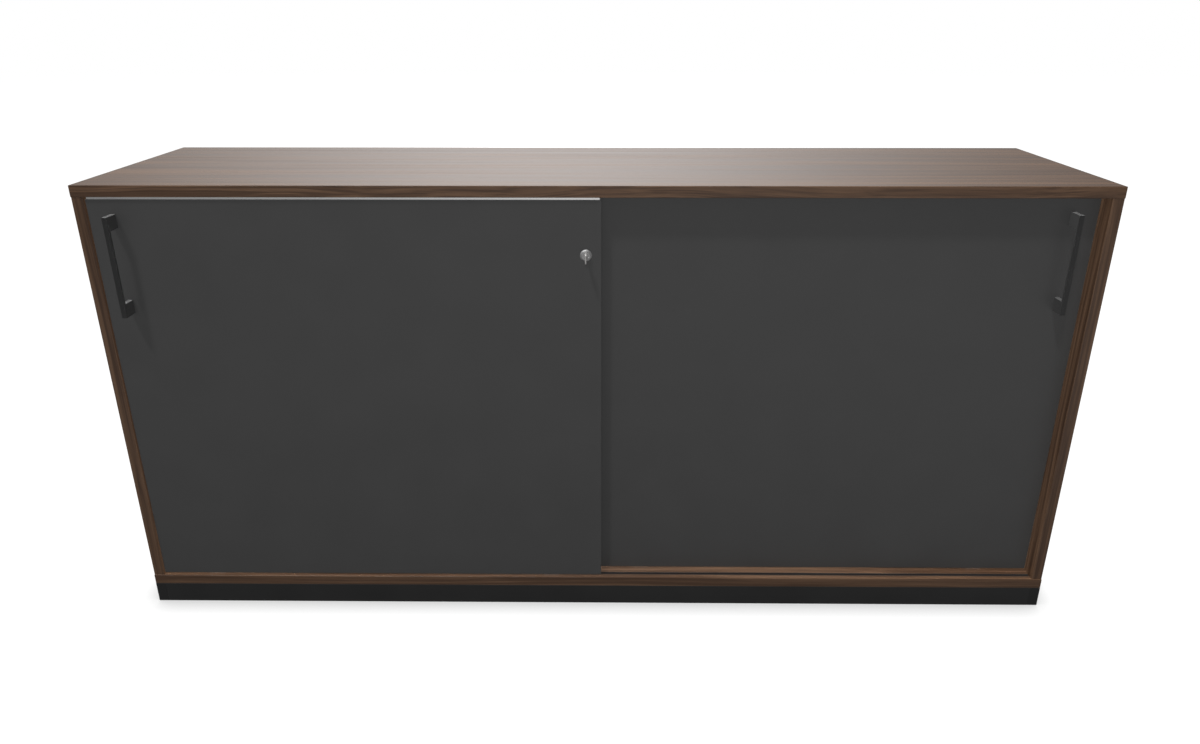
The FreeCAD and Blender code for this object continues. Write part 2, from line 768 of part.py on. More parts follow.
def sliding_door(door, lane, left, right, handle_middle, extra_pockets):
    """A door board with everything that is screwed or pressed into it."""
    middle = DOOR_MIDDLE.format(lane=lane)
    back = f"{lane} + door_board"
    shells = []
    housings = []
    axles = []
    sockets = []
    springs = []
    for side, x in (("left", f"{left} + roller_inset"), ("right", f"{right} - roller_inset")):
        shell, housing, axle = roller_set(door, side, x, middle)
        shells.append(shell)
        housings.append(housing)
        axles.append(axle)
        shell, socket, spring = guide_set(door, side, x, middle)
        shells.append(shell)
        sockets.append(socket)
        springs.append(spring)
    screws = []
    screw_holes = []
    for end, sign in (("upper", "+"), ("lower", "-")):
        place = (handle_middle, back, f"handle_level {sign} handle_screw_offset")
        length = "door_board + screw_grip"
        screws.append(countersunk(f"{door}_{end}_screw", place, length, "0"))
        screw_holes.append(countersunk(f"{door}_{end}_screw_hole", place, f"{length} + fit_gap", "fit_gap"))
    left_inner = f"{left} + band"
    right_inner = f"{right} - band"
    core = block(
        f"{door}_door_core",
        (left_inner, lane, "door_foot + band"),
        (right_inner, back, "door_top - band"),
    )
    node(cut(f"{door}_door_cut", core, shells + screw_holes + extra_pockets), f"{door}_door_panel")
    bands = [
        block(f"{door}_left_band", (left, lane, "door_foot"), (left_inner, back, "door_top")),
        block(f"{door}_right_band", (right_inner, lane, "door_foot"), (right, back, "door_top")),
        block(f"{door}_foot_band", (left_inner, lane, "door_foot"), (right_inner, back, "door_foot + band")),
        block(f"{door}_top_band", (left_inner, lane, "door_top - band"), (right_inner, back, "door_top")),
    ]
    edging = cut(f"{door}_bands_cut", group(f"{door}_bands", bands), shells + extra_pockets)
    node(edging, f"{door}_door_edge_bands")
    strip_face = f"{lane} + head_strip_setback"
    strip = block(
        f"{door}_strip",
        (left_inner, strip_face, "door_top"),
        (right_inner, f"{strip_face} + head_strip_board", "ceiling - head_strip_gap"),
    )
    node(strip, f"{door}_door_head_strip")
    handle(door, handle_middle, lane, screw_holes)
    node(group(f"{door}_screws", screws), f"{door}_door_handle_screws")
    node(group(f"{door}_housings", housings), f"{door}_door_roller_housings")
    node(group(f"{door}_axles", axles), f"{door}_door_roller_axles")
    node(group(f"{door}_sockets", sockets), f"{door}_door_guide_sockets")
    node(group(f"{door}_springs", springs), f"{door}_door_guide_springs")


# Strike plate on the rear door's inner edge, which the pushed bolt comes up against

strike = block(
    "strike_blank",
    ("rear_door_left - strike_plate_board", "rear_lane - strike_proud", "lock_level - strike_height / 2"),
    ("rear_door_left", "rear_lane + door_board - strike_margin", "lock_level + strike_height / 2"),
)
strike_screws = []
strike_holes = []
for end, sign in (("upper", "+"), ("lower", "-")):
    z = f"lock_level {sign} (strike_height / 2 - strike_screw_inset)"
    place = ("rear_door_left - strike_plate_board", REAR_MIDDLE, z)
    for pieces, part, extra in ((strike_screws, "screw", "0"), (strike_holes, "screw_hole", "fit_gap")):
        name = f"strike_{end}_{part}"
        radius = f"strike_screw_radius + {extra}"
        wide = f"strike_head_radius + {extra}"
        head = cone(name + "_head", "x", place, wide, radius, "strike_plate_board")
        shank = rod(name + "_shank", "x", place, radius, f"strike_screw_length + {extra}")
        pieces.append(joined(name, head, shank))
node(cut("strike_cut", strike, strike_holes), "strike_plate")
node(group("strike_fixings", strike_screws), "strike_screws")


# Push lock in the front door: housing, barrel with its bolt, spring, plug and key

LOCK_PLACE = ("lock_middle", "front_lane", "lock_level")
BARREL_BORE = "barrel_radius + fit_gap"
BOLT_BORE = "bolt_radius + fit_gap"
PLUG_BORE = "plug_radius + fit_gap"
REAR_WALL = "door_board - lock_wall"
BOLT_TIP = "door_board - bolt_recess"
PLUG_END = "barrel_front + plug_length + fit_gap"
LOCK_HOUSING = [
    (BARREL_BORE, "-rosette_rise"),
    (f"{BARREL_BORE} + rosette_lip", "-rosette_rise"),
    ("rosette_radius", "-rosette_edge"),
    ("rosette_radius", "0"),
    ("lock_body_radius", "0"),
    ("lock_body_radius", "door_board"),
    (BOLT_BORE, "door_board"),
    (BOLT_BORE, REAR_WALL),
    (BARREL_BORE, REAR_WALL),
]
LOCK_BARREL = [
    (PLUG_BORE, "barrel_front"),
    ("barrel_radius - barrel_chamfer", "barrel_front"),
    ("barrel_radius", "barrel_front + barrel_chamfer"),
    ("barrel_radius", "barrel_shoulder"),
    ("bolt_radius", "barrel_shoulder"),
    ("bolt_radius", BOLT_TIP),
    ("0", BOLT_TIP),
    ("0", PLUG_END),
    (PLUG_BORE, PLUG_END),
]
LOCK_SPRING = [
    (BOLT_BORE, "barrel_shoulder"),
    (f"{BOLT_BORE} + spring_wire", "barrel_shoulder"),
    (f"{BOLT_BORE} + spring_wire", REAR_WALL),
    (BOLT_BORE, REAR_WALL),
]
node(turned("lock_case", "XY_Plane", LOCK_HOUSING, LOCK_PLACE), "lock_housing")
node(turned("lock_cylinder", "XY_Plane", LOCK_BARREL, LOCK_PLACE), "lock_barrel")
node(turned("lock_coil", "XY_Plane", LOCK_SPRING, LOCK_PLACE), "lock_spring")

PLUG_FACE = "front_lane + barrel_front"
plug_core = rod("plug_core", "y", ("lock_middle", PLUG_FACE, "lock_level"), "plug_radius", "plug_length")
SLOT_HALF = "key_plate / 2 + fit_gap"
SLOT_RISE = "key_blade / 2 + fit_gap"
plug_slot = block(
    "plug_slot",
    (f"lock_middle - ({SLOT_HALF})", PLUG_FACE, f"lock_level - ({SLOT_RISE})"),
    (f"lock_middle + {SLOT_HALF}", f"{PLUG_FACE} + key_depth + fit_gap", f"lock_level + {SLOT_RISE}"),
)
node(cut("plug_cut", plug_core, [plug_slot]), "lock_plug")

BLADE_TIP = "barrel_front + key_depth"
BOW_FRONT = "key_shoulder - key_bow_length"
KEY = [
    (BLADE_TIP, "-key_blade / 2"),
    (BLADE_TIP, "key_blade / 2"),
    ("key_shoulder", "key_blade / 2"),
    ("key_shoulder", "key_bow_height / 2"),
    (BOW_FRONT, "key_bow_height / 2"),
    (BOW_FRONT, "-key_bow_height / 2"),
    ("key_shoulder", "-key_bow_height / 2"),
    ("key_shoulder", "-key_blade / 2"),
]


SAME = 1e-6  # lengths this near to each other are the same


def bow_corners(shape):
    """The two outer corner edges of the key's bow."""
    front = shape.BoundBox.YMin
    found = []
    for i, edge in enumerate(shape.Edges, 1):
        box = edge.BoundBox
        if box.YLength < SAME and box.ZLength < SAME and abs(box.YMin - front) < SAME:
            found.append(f"Edge{i}")
    return found


key_blank = rounded(extruded("key_blank", KEY, "key_plate", LOCK_PLACE), "key_corner", bow_corners)
key_eye = rod(
    "key_eye",
    "x",
    ("lock_middle - key_plate", f"front_lane + {BOW_FRONT} + key_eye_inset", "lock_level"),
    "key_eye_radius",
    "2 * key_plate",
)
node(cut("key_cut", key_blank, [key_eye]), "key")

lock_hole = rod("lock_hole", "y", LOCK_PLACE, "lock_body_radius", "door_board")
sliding_door("front", "front_lane", "front_door_left", "front_door_right", "front_handle_middle", [lock_hole])
sliding_door("rear", "rear_lane", "rear_door_left", "rear_door_right", "rear_handle_middle", strike_holes)


# Check every object, then write one file for each sub-part

doc.recompute()
failed = [o.Label for o in doc.Objects if {"Invalid", "Error"} & set(o.State)]
if failed:
    raise RuntimeError("objects that failed: " + ", ".join(failed))
for piece in nodes:
    if piece.Shape.isNull() or not piece.Shape.isValid() or not piece.Shape.Solids:
        raise RuntimeError("bad shape: " + piece.Label)
os.makedirs("parts", exist_ok=True)
for piece in nodes:
    piece.Shape.exportStep(os.path.join("parts", piece.Label + ".step"))
print(len(nodes), "sub-parts written, door travel", round(number("door_travel"), 2))
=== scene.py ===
"""Looks of a sliding door cabinet: a walnut carcass on a black plinth, with two anthracite doors.

Everything is in metres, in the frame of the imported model: X to the right, Y to the back and Z up.
"""

import logging
import math
from dataclasses import dataclass, field, replace
from enum import Enum
from typing import Any, Callable, ClassVar, Sequence

import bmesh
import bpy
from mathutils import Matrix, Vector


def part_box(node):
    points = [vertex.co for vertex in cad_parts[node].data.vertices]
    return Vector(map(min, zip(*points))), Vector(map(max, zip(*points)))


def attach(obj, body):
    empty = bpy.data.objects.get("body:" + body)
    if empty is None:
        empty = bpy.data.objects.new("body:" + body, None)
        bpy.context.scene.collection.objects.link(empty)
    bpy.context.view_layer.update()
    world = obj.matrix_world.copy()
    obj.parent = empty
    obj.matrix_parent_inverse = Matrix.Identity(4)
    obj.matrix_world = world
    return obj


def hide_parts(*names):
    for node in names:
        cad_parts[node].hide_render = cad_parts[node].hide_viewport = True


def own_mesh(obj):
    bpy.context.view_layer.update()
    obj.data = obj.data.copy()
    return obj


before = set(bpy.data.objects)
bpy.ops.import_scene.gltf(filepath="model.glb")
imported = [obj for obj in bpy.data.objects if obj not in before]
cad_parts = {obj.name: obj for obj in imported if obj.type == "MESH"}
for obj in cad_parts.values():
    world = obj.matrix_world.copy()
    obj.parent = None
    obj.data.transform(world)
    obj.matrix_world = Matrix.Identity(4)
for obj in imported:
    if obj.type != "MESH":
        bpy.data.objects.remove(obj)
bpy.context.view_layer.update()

log = logging.getLogger("cabinet")
MM = 0.001
TAU = 2 * math.pi
QUARTER = TAU / 4
TINY = 1e-9
MERGE = 1e-7
SORT_DIGITS = 5
ROUND_PROFILE = 0.5
X_AXIS = Vector((1, 0, 0))
Y_AXIS = Vector((0, 1, 0))
Z_AXIS = Vector((0, 0, 1))

Colour = tuple[float, float, float]
Triple = tuple[float, float, float]
Pair = tuple[float, float]
Point = tuple[float, float]
Box = tuple[Vector, Vector]
Ring = list[bmesh.types.BMVert]
Socket = bpy.types.NodeSocket

# The values that soft noise mostly lies between.
NOISE_RANGE: Pair = (0.3, 0.7)
FULL_RANGE: Pair = (0.0, 1.0)


class Grain(Enum):
    """The axis that a board's grain runs along."""

    ALONG_X = 0
    ALONG_Y = 1
    ALONG_Z = 2


class Door(Enum):
    """The two doors, by the lane that each one runs in."""

    FRONT = "front"
    REAR = "rear"


def even(value: float) -> Triple:
    """The same value three times: a grey, or a scale that is alike on all axes."""
    return (value, value, value)


class Graph:
    """The nodes of one material or world, added one at a time."""

    def __init__(self, owner: bpy.types.ID) -> None:
        """Start with no nodes.

        Args:
            owner: The material or world that the nodes belong to.
        """
        owner.use_nodes = True
        self.tree = owner.node_tree
        self.tree.nodes.clear()

    def add(self, kind: str, inputs: dict[str | int, Any] | None = None, **settings: Any) -> bpy.types.Node:
        """Add one node.

        Args:
            kind: The node's type, without its ShaderNode prefix.
            inputs: A value or a socket for each input, by name or number.
            **settings: The node's own properties.

        Returns:
            The new node.
        """
        node = self.tree.nodes.new("ShaderNode" + kind)
        for key, value in settings.items():
            setattr(node, key, value)
        for key, value in (inputs or {}).items():
            if isinstance(value, Socket):
                self.tree.links.new(value, node.inputs[key])
            else:
                node.inputs[key].default_value = value
        return node

    def place(self, shift: Triple = (0.0, 0.0, 0.0)) -> Socket:
        """The piece's own coordinates, moved so that no two boards share a pattern.

        Args:
            shift: How far the pattern is moved, in metres.

        Returns:
            A vector socket.
        """
        coordinates = self.add("TexCoord").outputs["Object"]
        return self.add("Mapping", {"Vector": coordinates, "Location": shift}).outputs["Vector"]

    def noise(self, place: Socket, scale: Triple, detail: float, tint: bool = False) -> Socket:
        """Soft noise with its own scale on each axis.

        Args:
            place: The coordinates to read it at.
            scale: Features per metre on each axis.
            detail: How many finer layers it has.
            tint: Whether to give three values, as a colour, instead of one.

        Returns:
            A value or colour socket.
        """
        scaled = self.add("Mapping", {"Vector": place, "Scale": scale}).outputs["Vector"]
        node = self.add("TexNoise", {"Vector": scaled, "Scale": 1.0, "Detail": detail})
        return node.outputs["Color" if tint else "Fac"]

    def spread(self, value: Socket, result: Pair = FULL_RANGE, told_apart: Pair = NOISE_RANGE) -> Socket:
        """Stretch a noise value over a new range.

        Args:
            value: The value to stretch.
            result: The lowest and highest value that it becomes.
            told_apart: The lowest and highest value that are told apart.

        Returns:
            A value socket.
        """
        inputs = {"Value": value, "From Min": told_apart[0], "From Max": told_apart[1]}
        inputs.update({"To Min": result[0], "To Max": result[1]})
        return self.add("MapRange", inputs).outputs["Result"]

    def math(self, operation: str, first: Socket | float, second: Socket | float = 0.0) -> Socket:
        """One sum on two values.

        Args:
            operation: The name of the sum.
            first: The first value.
            second: The second value.

        Returns:
            A value socket.
        """
        return self.add("Math", {0: first, 1: second}, operation=operation).outputs["Value"]

    def weigh(self, first: Socket, second: Socket, share: float) -> Socket:
        """A weighted mean of two values.

        Args:
            first: The first value.
            second: The second value.
            share: The weight of the first value, from 0 to 1.

        Returns:
            A value socket.
        """
        rest = self.math("MULTIPLY", second, 1.0 - share)
        return self.math("ADD", self.math("MULTIPLY", first, share), rest)

    def blend(self, share: Socket | float, first: Socket | Colour, second: Socket | Colour) -> Socket:
        """Mix two colours.

        Args:
            share: How much of the second colour there is.
            first: The first colour.
            second: The second colour.

        Returns:
            A colour socket.
        """
        first = first if isinstance(first, Socket) else (*first, 1.0)
        second = second if isinstance(second, Socket) else (*second, 1.0)
        return self.add("Mix", {0: share, 6: first, 7: second}, data_type="RGBA").outputs[2]

    def ramp(self, value: Socket, stops: Sequence[float], colours: Sequence[Colour]) -> Socket:
        """Turn a value into a colour.

        Args:
            value: The value to read.
            stops: Values in rising order.
            colours: The colour at each stop.

        Returns:
            A colour socket.
        """
        node = self.add("ValToRGB", {"Fac": value})
        elements = node.color_ramp.elements
        while len(elements) < len(stops):
            elements.new(1.0)
        for element, stop, colour in zip(elements, stops, colours):
            element.position = stop
            element.color = (*colour, 1.0)
        return node.outputs["Color"]

    def bump(self, height: Socket, strength: float, depth: float) -> Socket:
        """A relief too fine to model.

        Args:
            height: The relief, from 0 to 1.
            strength: How much of it shows.
            depth: Its real depth in metres.

        Returns:
            A normal socket.
        """
        node = self.add("Bump", {"Height": height, "Strength": strength, "Distance": depth})
        return node.outputs["Normal"]

    def surface(self, base: Socket, rough: Socket, normal: Socket, **plain: float) -> None:
        """End a material with one shader.

        Args:
            base: The colour.
            rough: The roughness.
            normal: The relief.
            **plain: Sockets that are the same all over, with spaces in their names as underscores.
        """
        inputs = {"Base Color": base, "Roughness": rough, "Normal": normal}
        inputs.update({key.replace("_", " "): value for key, value in plain.items()})
        shader = self.add("BsdfPrincipled", inputs)
        self.add("OutputMaterial", {"Surface": shader.outputs["BSDF"]})


class Finish:
    """A surface finish, which makes its material once."""

    made: ClassVar[dict["Finish", bpy.types.Material]] = {}
    name: str

    def material(self) -> bpy.types.Material:
        """Make the finish's material when it is first asked for.

        Returns:
            The material.
        """
        if self not in Finish.made:
            material = bpy.data.materials.new(self.name)
            self.draw(Graph(material))
            Finish.made[self] = material
        return Finish.made[self]

    def draw(self, graph: Graph) -> None:
        """Add the finish's nodes.

        Args:
            graph: The empty material.
        """
        raise NotImplementedError


@dataclass(frozen=True)
class Pattern:
    """A soft noise drawn out along a board's grain, in features per metre."""

    along: float
    across: float
    detail: float

    def scale(self, grain: Grain) -> Triple:
        """Its features per metre on the three axes."""
        return tuple(self.along if axis == grain.value else self.across for axis in range(3))

    def finer(self, times: float) -> "Pattern":
        """The same noise with closer features across the grain."""
        return replace(self, across=self.across * times)


@dataclass(frozen=True)
class WoodFinish(Finish):
    """Wood with drifting streaks, thin lines, fibres and short dark pores along its grain."""

    name: str
    grain: Grain
    dark: Colour
    middle: Colour
    light: Colour
    shift: Triple = (0.0, 0.0, 0.0)
    rough: Pair = (0.30, 0.40)
    drift: Pattern = Pattern(1.1, 5.0, 2.0)
    drift_reach: float = 35 * MM
    streaks: Pattern = Pattern(1.6, 110.0, 4.0)
    streak_share: float = 0.72
    stops: Triple = (0.38, 0.50, 0.62)
    lines: Pattern = Pattern(0.9, 190.0, 1.0)
    line_range: Pair = (0.53, 0.64)
    line_dark: float = 0.8
    fibres: Pattern = Pattern(14.0, 900.0, 2.0)
    pores: Pattern = Pattern(60.0, 2600.0, 1.0)
    pore_range: Pair = (0.62, 0.72)
    pore_dark: float = 0.5
    pore_depth: float = 0.6
    relief: float = 0.1
    depth: float = 0.15 * MM

    def read(self, graph: Graph, place: Socket, pattern: Pattern, tint: bool = False) -> Socket:
        """One of the wood's patterns at a place, as a value or a colour."""
        return graph.noise(place, pattern.scale(self.grain), pattern.detail, tint)

    def draw(self, graph: Graph) -> None:
        """Add the finish's nodes.

        Args:
            graph: The empty material.
        """
        place = graph.place(self.shift)
        drift = self.read(graph, place, self.drift, tint=True)
        reach = tuple(0.0 if axis == self.grain.value else self.drift_reach for axis in range(3))
        bent = graph.add("VectorMath", {0: drift, 1: reach, 2: place}, operation="MULTIPLY_ADD").outputs[0]
        streaks = self.read(graph, bent, self.streaks)
        lines = graph.spread(self.read(graph, bent, self.lines), told_apart=self.line_range)
        fibres = self.read(graph, bent, self.fibres)
        pores = graph.spread(self.read(graph, bent, self.pores), told_apart=self.pore_range)
        tone = graph.weigh(streaks, fibres, self.streak_share)
        wood = graph.ramp(tone, self.stops, (self.dark, self.middle, self.light))
        lined = graph.blend(graph.math("MULTIPLY", lines, self.line_dark), wood, self.dark)
        pored = graph.blend(graph.math("MULTIPLY", pores, self.pore_dark), lined, self.dark)
        height = graph.math("SUBTRACT", fibres, graph.math("MULTIPLY", pores, self.pore_depth))
        graph.surface(pored, graph.spread(tone, self.rough), graph.bump(height, self.relief, self.depth))


@dataclass(frozen=True)
class PlainFinish(Finish):
    """A one-colour finish with a fine grain and a slow mottle, such as melamine, paint, plastic or metal."""

    name: str
    low: Colour
    high: Colour
    rough: Pair
    grain: Triple = even(900.0)
    mottle: float = 12.0
    detail: float = 3.0
    grain_share: float = 0.6
    tone_range: Pair = (0.35, 0.65)
    relief: float = 0.1
    depth: float = 0.1 * MM
    metal: float = 0.0
    shine: float = 0.5
    sheen: float = 0.0
    sheen_rough: float = 0.3

    def draw(self, graph: Graph) -> None:
        """Add the finish's nodes.

        Args:
            graph: The empty material.
        """
        place = graph.place()
        grain = graph.noise(place, self.grain, self.detail)
        mottle = graph.noise(place, even(self.mottle), self.detail)
        tone = graph.weigh(grain, mottle, self.grain_share)
        base = graph.blend(graph.spread(tone, told_apart=self.tone_range), self.low, self.high)
        rough = graph.spread(tone, self.rough)
        normal = graph.bump(grain, self.relief, self.depth)
        graph.surface(base, rough, normal, Metallic=self.metal, Specular_IOR_Level=self.shine,
                      Sheen_Weight=self.sheen, Sheen_Roughness=self.sheen_rough)


@dataclass(frozen=True)
class TurnedFinish(Finish):
    """Metal turned on a lathe, with fine rings about an axis along Y."""

    name: str
    low: Colour
    high: Colour
    rough: Pair
    centre: Triple
    metal: float = 0.95
    ring_scale: float = 5000.0
    ring_share: float = 0.5
    cloud_scale: float = 220.0
    detail: float = 2.0
    relief: float = 0.12
    depth: float = 0.02 * MM

    def draw(self, graph: Graph) -> None:
        """Add the finish's nodes.

        Args:
            graph: The empty material.
        """
        away = tuple(-value for value in self.centre)
        place = graph.place(away)
        flat = graph.add("Mapping", {"Vector": place, "Scale": (1, 0, 1)}).outputs["Vector"]
        radius = graph.add("VectorMath", {0: flat}, operation="LENGTH").outputs["Value"]
        along = graph.add("SeparateXYZ", {"Vector": place}).outputs["Y"]
        spot = graph.add("CombineXYZ", {"X": radius, "Y": along}).outputs["Vector"]
        rings = graph.noise(spot, even(self.ring_scale), self.detail)
        cloud = graph.noise(place, even(self.cloud_scale), self.detail)
        base = graph.blend(graph.spread(cloud), self.low, self.high)
        rough = graph.spread(graph.weigh(rings, cloud, self.ring_share), self.rough)
        graph.surface(base, rough, graph.bump(rings, self.relief, self.depth), Metallic=self.metal)


WALNUT_DARK: Colour = (0.038, 0.0195, 0.0108)
WALNUT_MIDDLE: Colour = (0.080, 0.0440, 0.0250)
WALNUT_LIGHT: Colour = (0.112, 0.0640, 0.0375)

# How far each board's pattern is moved, in metres, so that the boards differ.
PATTERN_SHIFTS: dict[str, Triple] = {
    "walnut_top": (0.0, 0.0, 0.0),
    "walnut_top_band": (1.3, 0.25, 0.11),
    "walnut_bottom": (3.1, 0.7, 0.2),
    "walnut_bottom_band": (1.3, 0.25, 0.11),
    "walnut_end_band": (2.9, 3.3, 0.6),
    "walnut_left_side": (0.3, 1.7, 5.2),
    "walnut_left_band": (0.2, 2.4, 3.7),
    "walnut_right_side": (0.9, 4.16, 2.6),
    "walnut_right_band": (0.05, 0.9, 6.1),
    "walnut_partition": (2.2, 0.4, 7.3),
    "walnut_back": (6.2, 2.8, 1.4),
    "walnut_left_shelf": (8.6, 1.1, 0.9),
    "walnut_right_shelf": (4.7, 3.9, 2.1),
}


def walnut(name: str, grain: Grain, tone: float = 1.0, contrast: float = 1.0, fine: float = 1.0,
           **changes: Any) -> WoodFinish:
    """Walnut decor for one board or band.

    Args:
        name: The finish's name, which also picks its shift.
        grain: The axis that the grain runs along.
        tone: How pale the board is beside the others; on the top board it is partly painted light from above.
        contrast: How strong its streaks and lines are beside the others'.
        fine: How close its streaks and lines lie beside the others'.
        **changes: Other fields of the finish that differ on this board.

    Returns:
        The finish.
    """
    shades = []
    for shade in (WALNUT_DARK, WALNUT_MIDDLE, WALNUT_LIGHT):
        pairs = zip(shade, WALNUT_MIDDLE)
        shades.append(tuple(tone * (middle + contrast * (value - middle)) for value, middle in pairs))
    return WoodFinish(name, grain, *shades, PATTERN_SHIFTS[name], streaks=WoodFinish.streaks.finer(fine),
                      lines=WoodFinish.lines.finer(fine), **changes)


MELAMINE = PlainFinish("anthracite_melamine", even(0.035), even(0.041), (0.44, 0.54), relief=0.12)
DOOR_BAND = PlainFinish("anthracite_band", even(0.036), even(0.040), (0.38, 0.46), grain=(60.0, 900.0, 60.0))
# A bright metal strip on each door's head. It reflects as metal does, and it stands in for the glint along
# the front door's top face, so it is partly painted reflection.
HEAD_STRIP_PAINTED_GLINT = PlainFinish("head_strip_painted_glint", even(0.90), even(0.96), (0.24, 0.32),
                         grain=(15.0, 900.0, 900.0), metal=1.0)
BLACK_LAMINATE = PlainFinish("black_laminate", even(0.009), even(0.013), (0.46, 0.56), relief=0.15)
# The plinth's end boards get a darker copy of the black laminate: painted shade, on the same board as the
# front.
BLACK_END_PAINTED_SHADE = PlainFinish("black_laminate_painted_shade", even(0.007), even(0.010), (0.50, 0.60), relief=0.15)
POWDER_COAT = PlainFinish("black_powder_coat", even(0.010), even(0.013), (0.36, 0.46),
                          grain=even(1600.0), relief=0.2, sheen=0.1)
ZINC = PlainFinish("zinc_plate", (0.52, 0.53, 0.55), (0.66, 0.66, 0.65), (0.26, 0.40),
                   grain=even(1500.0), mottle=90.0, metal=1.0)
SPRING_WIRE = PlainFinish("spring_wire", (0.42, 0.42, 0.43), (0.55, 0.55, 0.55), (0.22, 0.34), metal=1.0)
KEY_NICKEL = PlainFinish("key_nickel", (0.42, 0.41, 0.40), (0.52, 0.51, 0.50), (0.32, 0.44),
                         grain=(2500.0, 180.0, 2500.0), mottle=150.0, relief=0.15, depth=0.02 * MM, metal=0.8)
TRACK_PLASTIC = PlainFinish("track_plastic", (0.020, 0.019, 0.019), (0.030, 0.028, 0.027), (0.40, 0.52),
                            grain=(12.0, 1600.0, 1600.0))
WHITE_ACETAL = PlainFinish("white_acetal", (0.66, 0.66, 0.64), (0.75, 0.75, 0.73), (0.32, 0.42), relief=0.06)
BLACK_PLASTIC = PlainFinish("black_moulded_plastic", even(0.020), even(0.028), (0.45, 0.58),
                            grain=even(1300.0))
RUBBER = PlainFinish("grey_rubber", even(0.040), even(0.055), (0.70, 0.85), grain=even(1100.0), relief=0.25,
                     shine=0.3)
BEECH = WoodFinish("beech", Grain.ALONG_Z, (0.40, 0.26, 0.15), (0.52, 0.36, 0.22), (0.60, 0.44, 0.29),
                   rough=(0.5, 0.65), streaks=Pattern(20.0, 500.0, 4.0), fibres=Pattern(60.0, 2500.0, 2.0),
                   pores=Pattern(300.0, 5000.0, 1.0))


def solid_boxes(node: str) -> list[Box]:
    """The boxes of a node's separate solids.

    Args:
        node: The node's name.

    Returns:
        The lowest and highest corner of each solid, in order along X, Y and Z.
    """
    mesh = bmesh.new()
    mesh.from_mesh(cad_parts[node].data)
    bmesh.ops.remove_doubles(mesh, verts=mesh.verts, dist=MERGE)
    left = set(mesh.verts)
    boxes = []
    while left:
        island = []
        queue = [left.pop()]
        while queue:
            vert = queue.pop()
            island.append(vert.co.copy())
            near = {edge.other_vert(vert) for edge in vert.link_edges} & left
            left -= near
            queue.extend(near)
        low = Vector(min(co[axis] for co in island) for axis in range(3))
        high = Vector(max(co[axis] for co in island) for axis in range(3))
        boxes.append((low, high))
    mesh.free()
    return sorted(boxes, key=lambda box: tuple(round(value, SORT_DIGITS) for value in box[0]))


def foot_of(low: Vector, high: Vector) -> Vector:
    """The middle of a box's underside."""
    return Vector(((low.x + high.x) / 2, (low.y + high.y) / 2, low.z))


def facing(axis: Vector) -> Matrix:
    """The turn that takes Z to an axis."""
    return axis.to_track_quat("Z", "X").to_matrix()


def polar(radius: float, angle: float, height: float) -> Vector:
    """A spot given by its radius and angle about Z, and its height."""
    return Vector((radius * math.cos(angle), radius * math.sin(angle), height))


def softened(corners: Sequence[Point], radius: float, steps: int = 4, loop: bool = False) -> list[Point]:
    """Round the corners of an outline.

    Args:
        corners: The outline's sharp corners.
        radius: How far from each corner the rounding starts.
        steps: How many straight pieces each rounding has.
        loop: Whether the outline is closed, so that its ends are rounded too.

    Returns:
        The points of the rounded outline.
    """
    most_of_side = 0.45
    count = len(corners)
    points = []
    for i, corner in enumerate(corners):
        if not loop and i in (0, count - 1):
            points.append(corner)
            continue
        here = Vector(corner)
        before = Vector(corners[i - 1]) - here
        after = Vector(corners[(i + 1) % count]) - here
        cut = min(radius, most_of_side * before.length, most_of_side * after.length)
        start = here + before.normalized() * cut
        end = here + after.normalized() * cut
        for step in range(steps + 1):
            share = step / steps
            point = start * (1 - share) ** 2 + here * 2 * share * (1 - share) + end * share ** 2
            points.append((point.x, point.y))
    return points


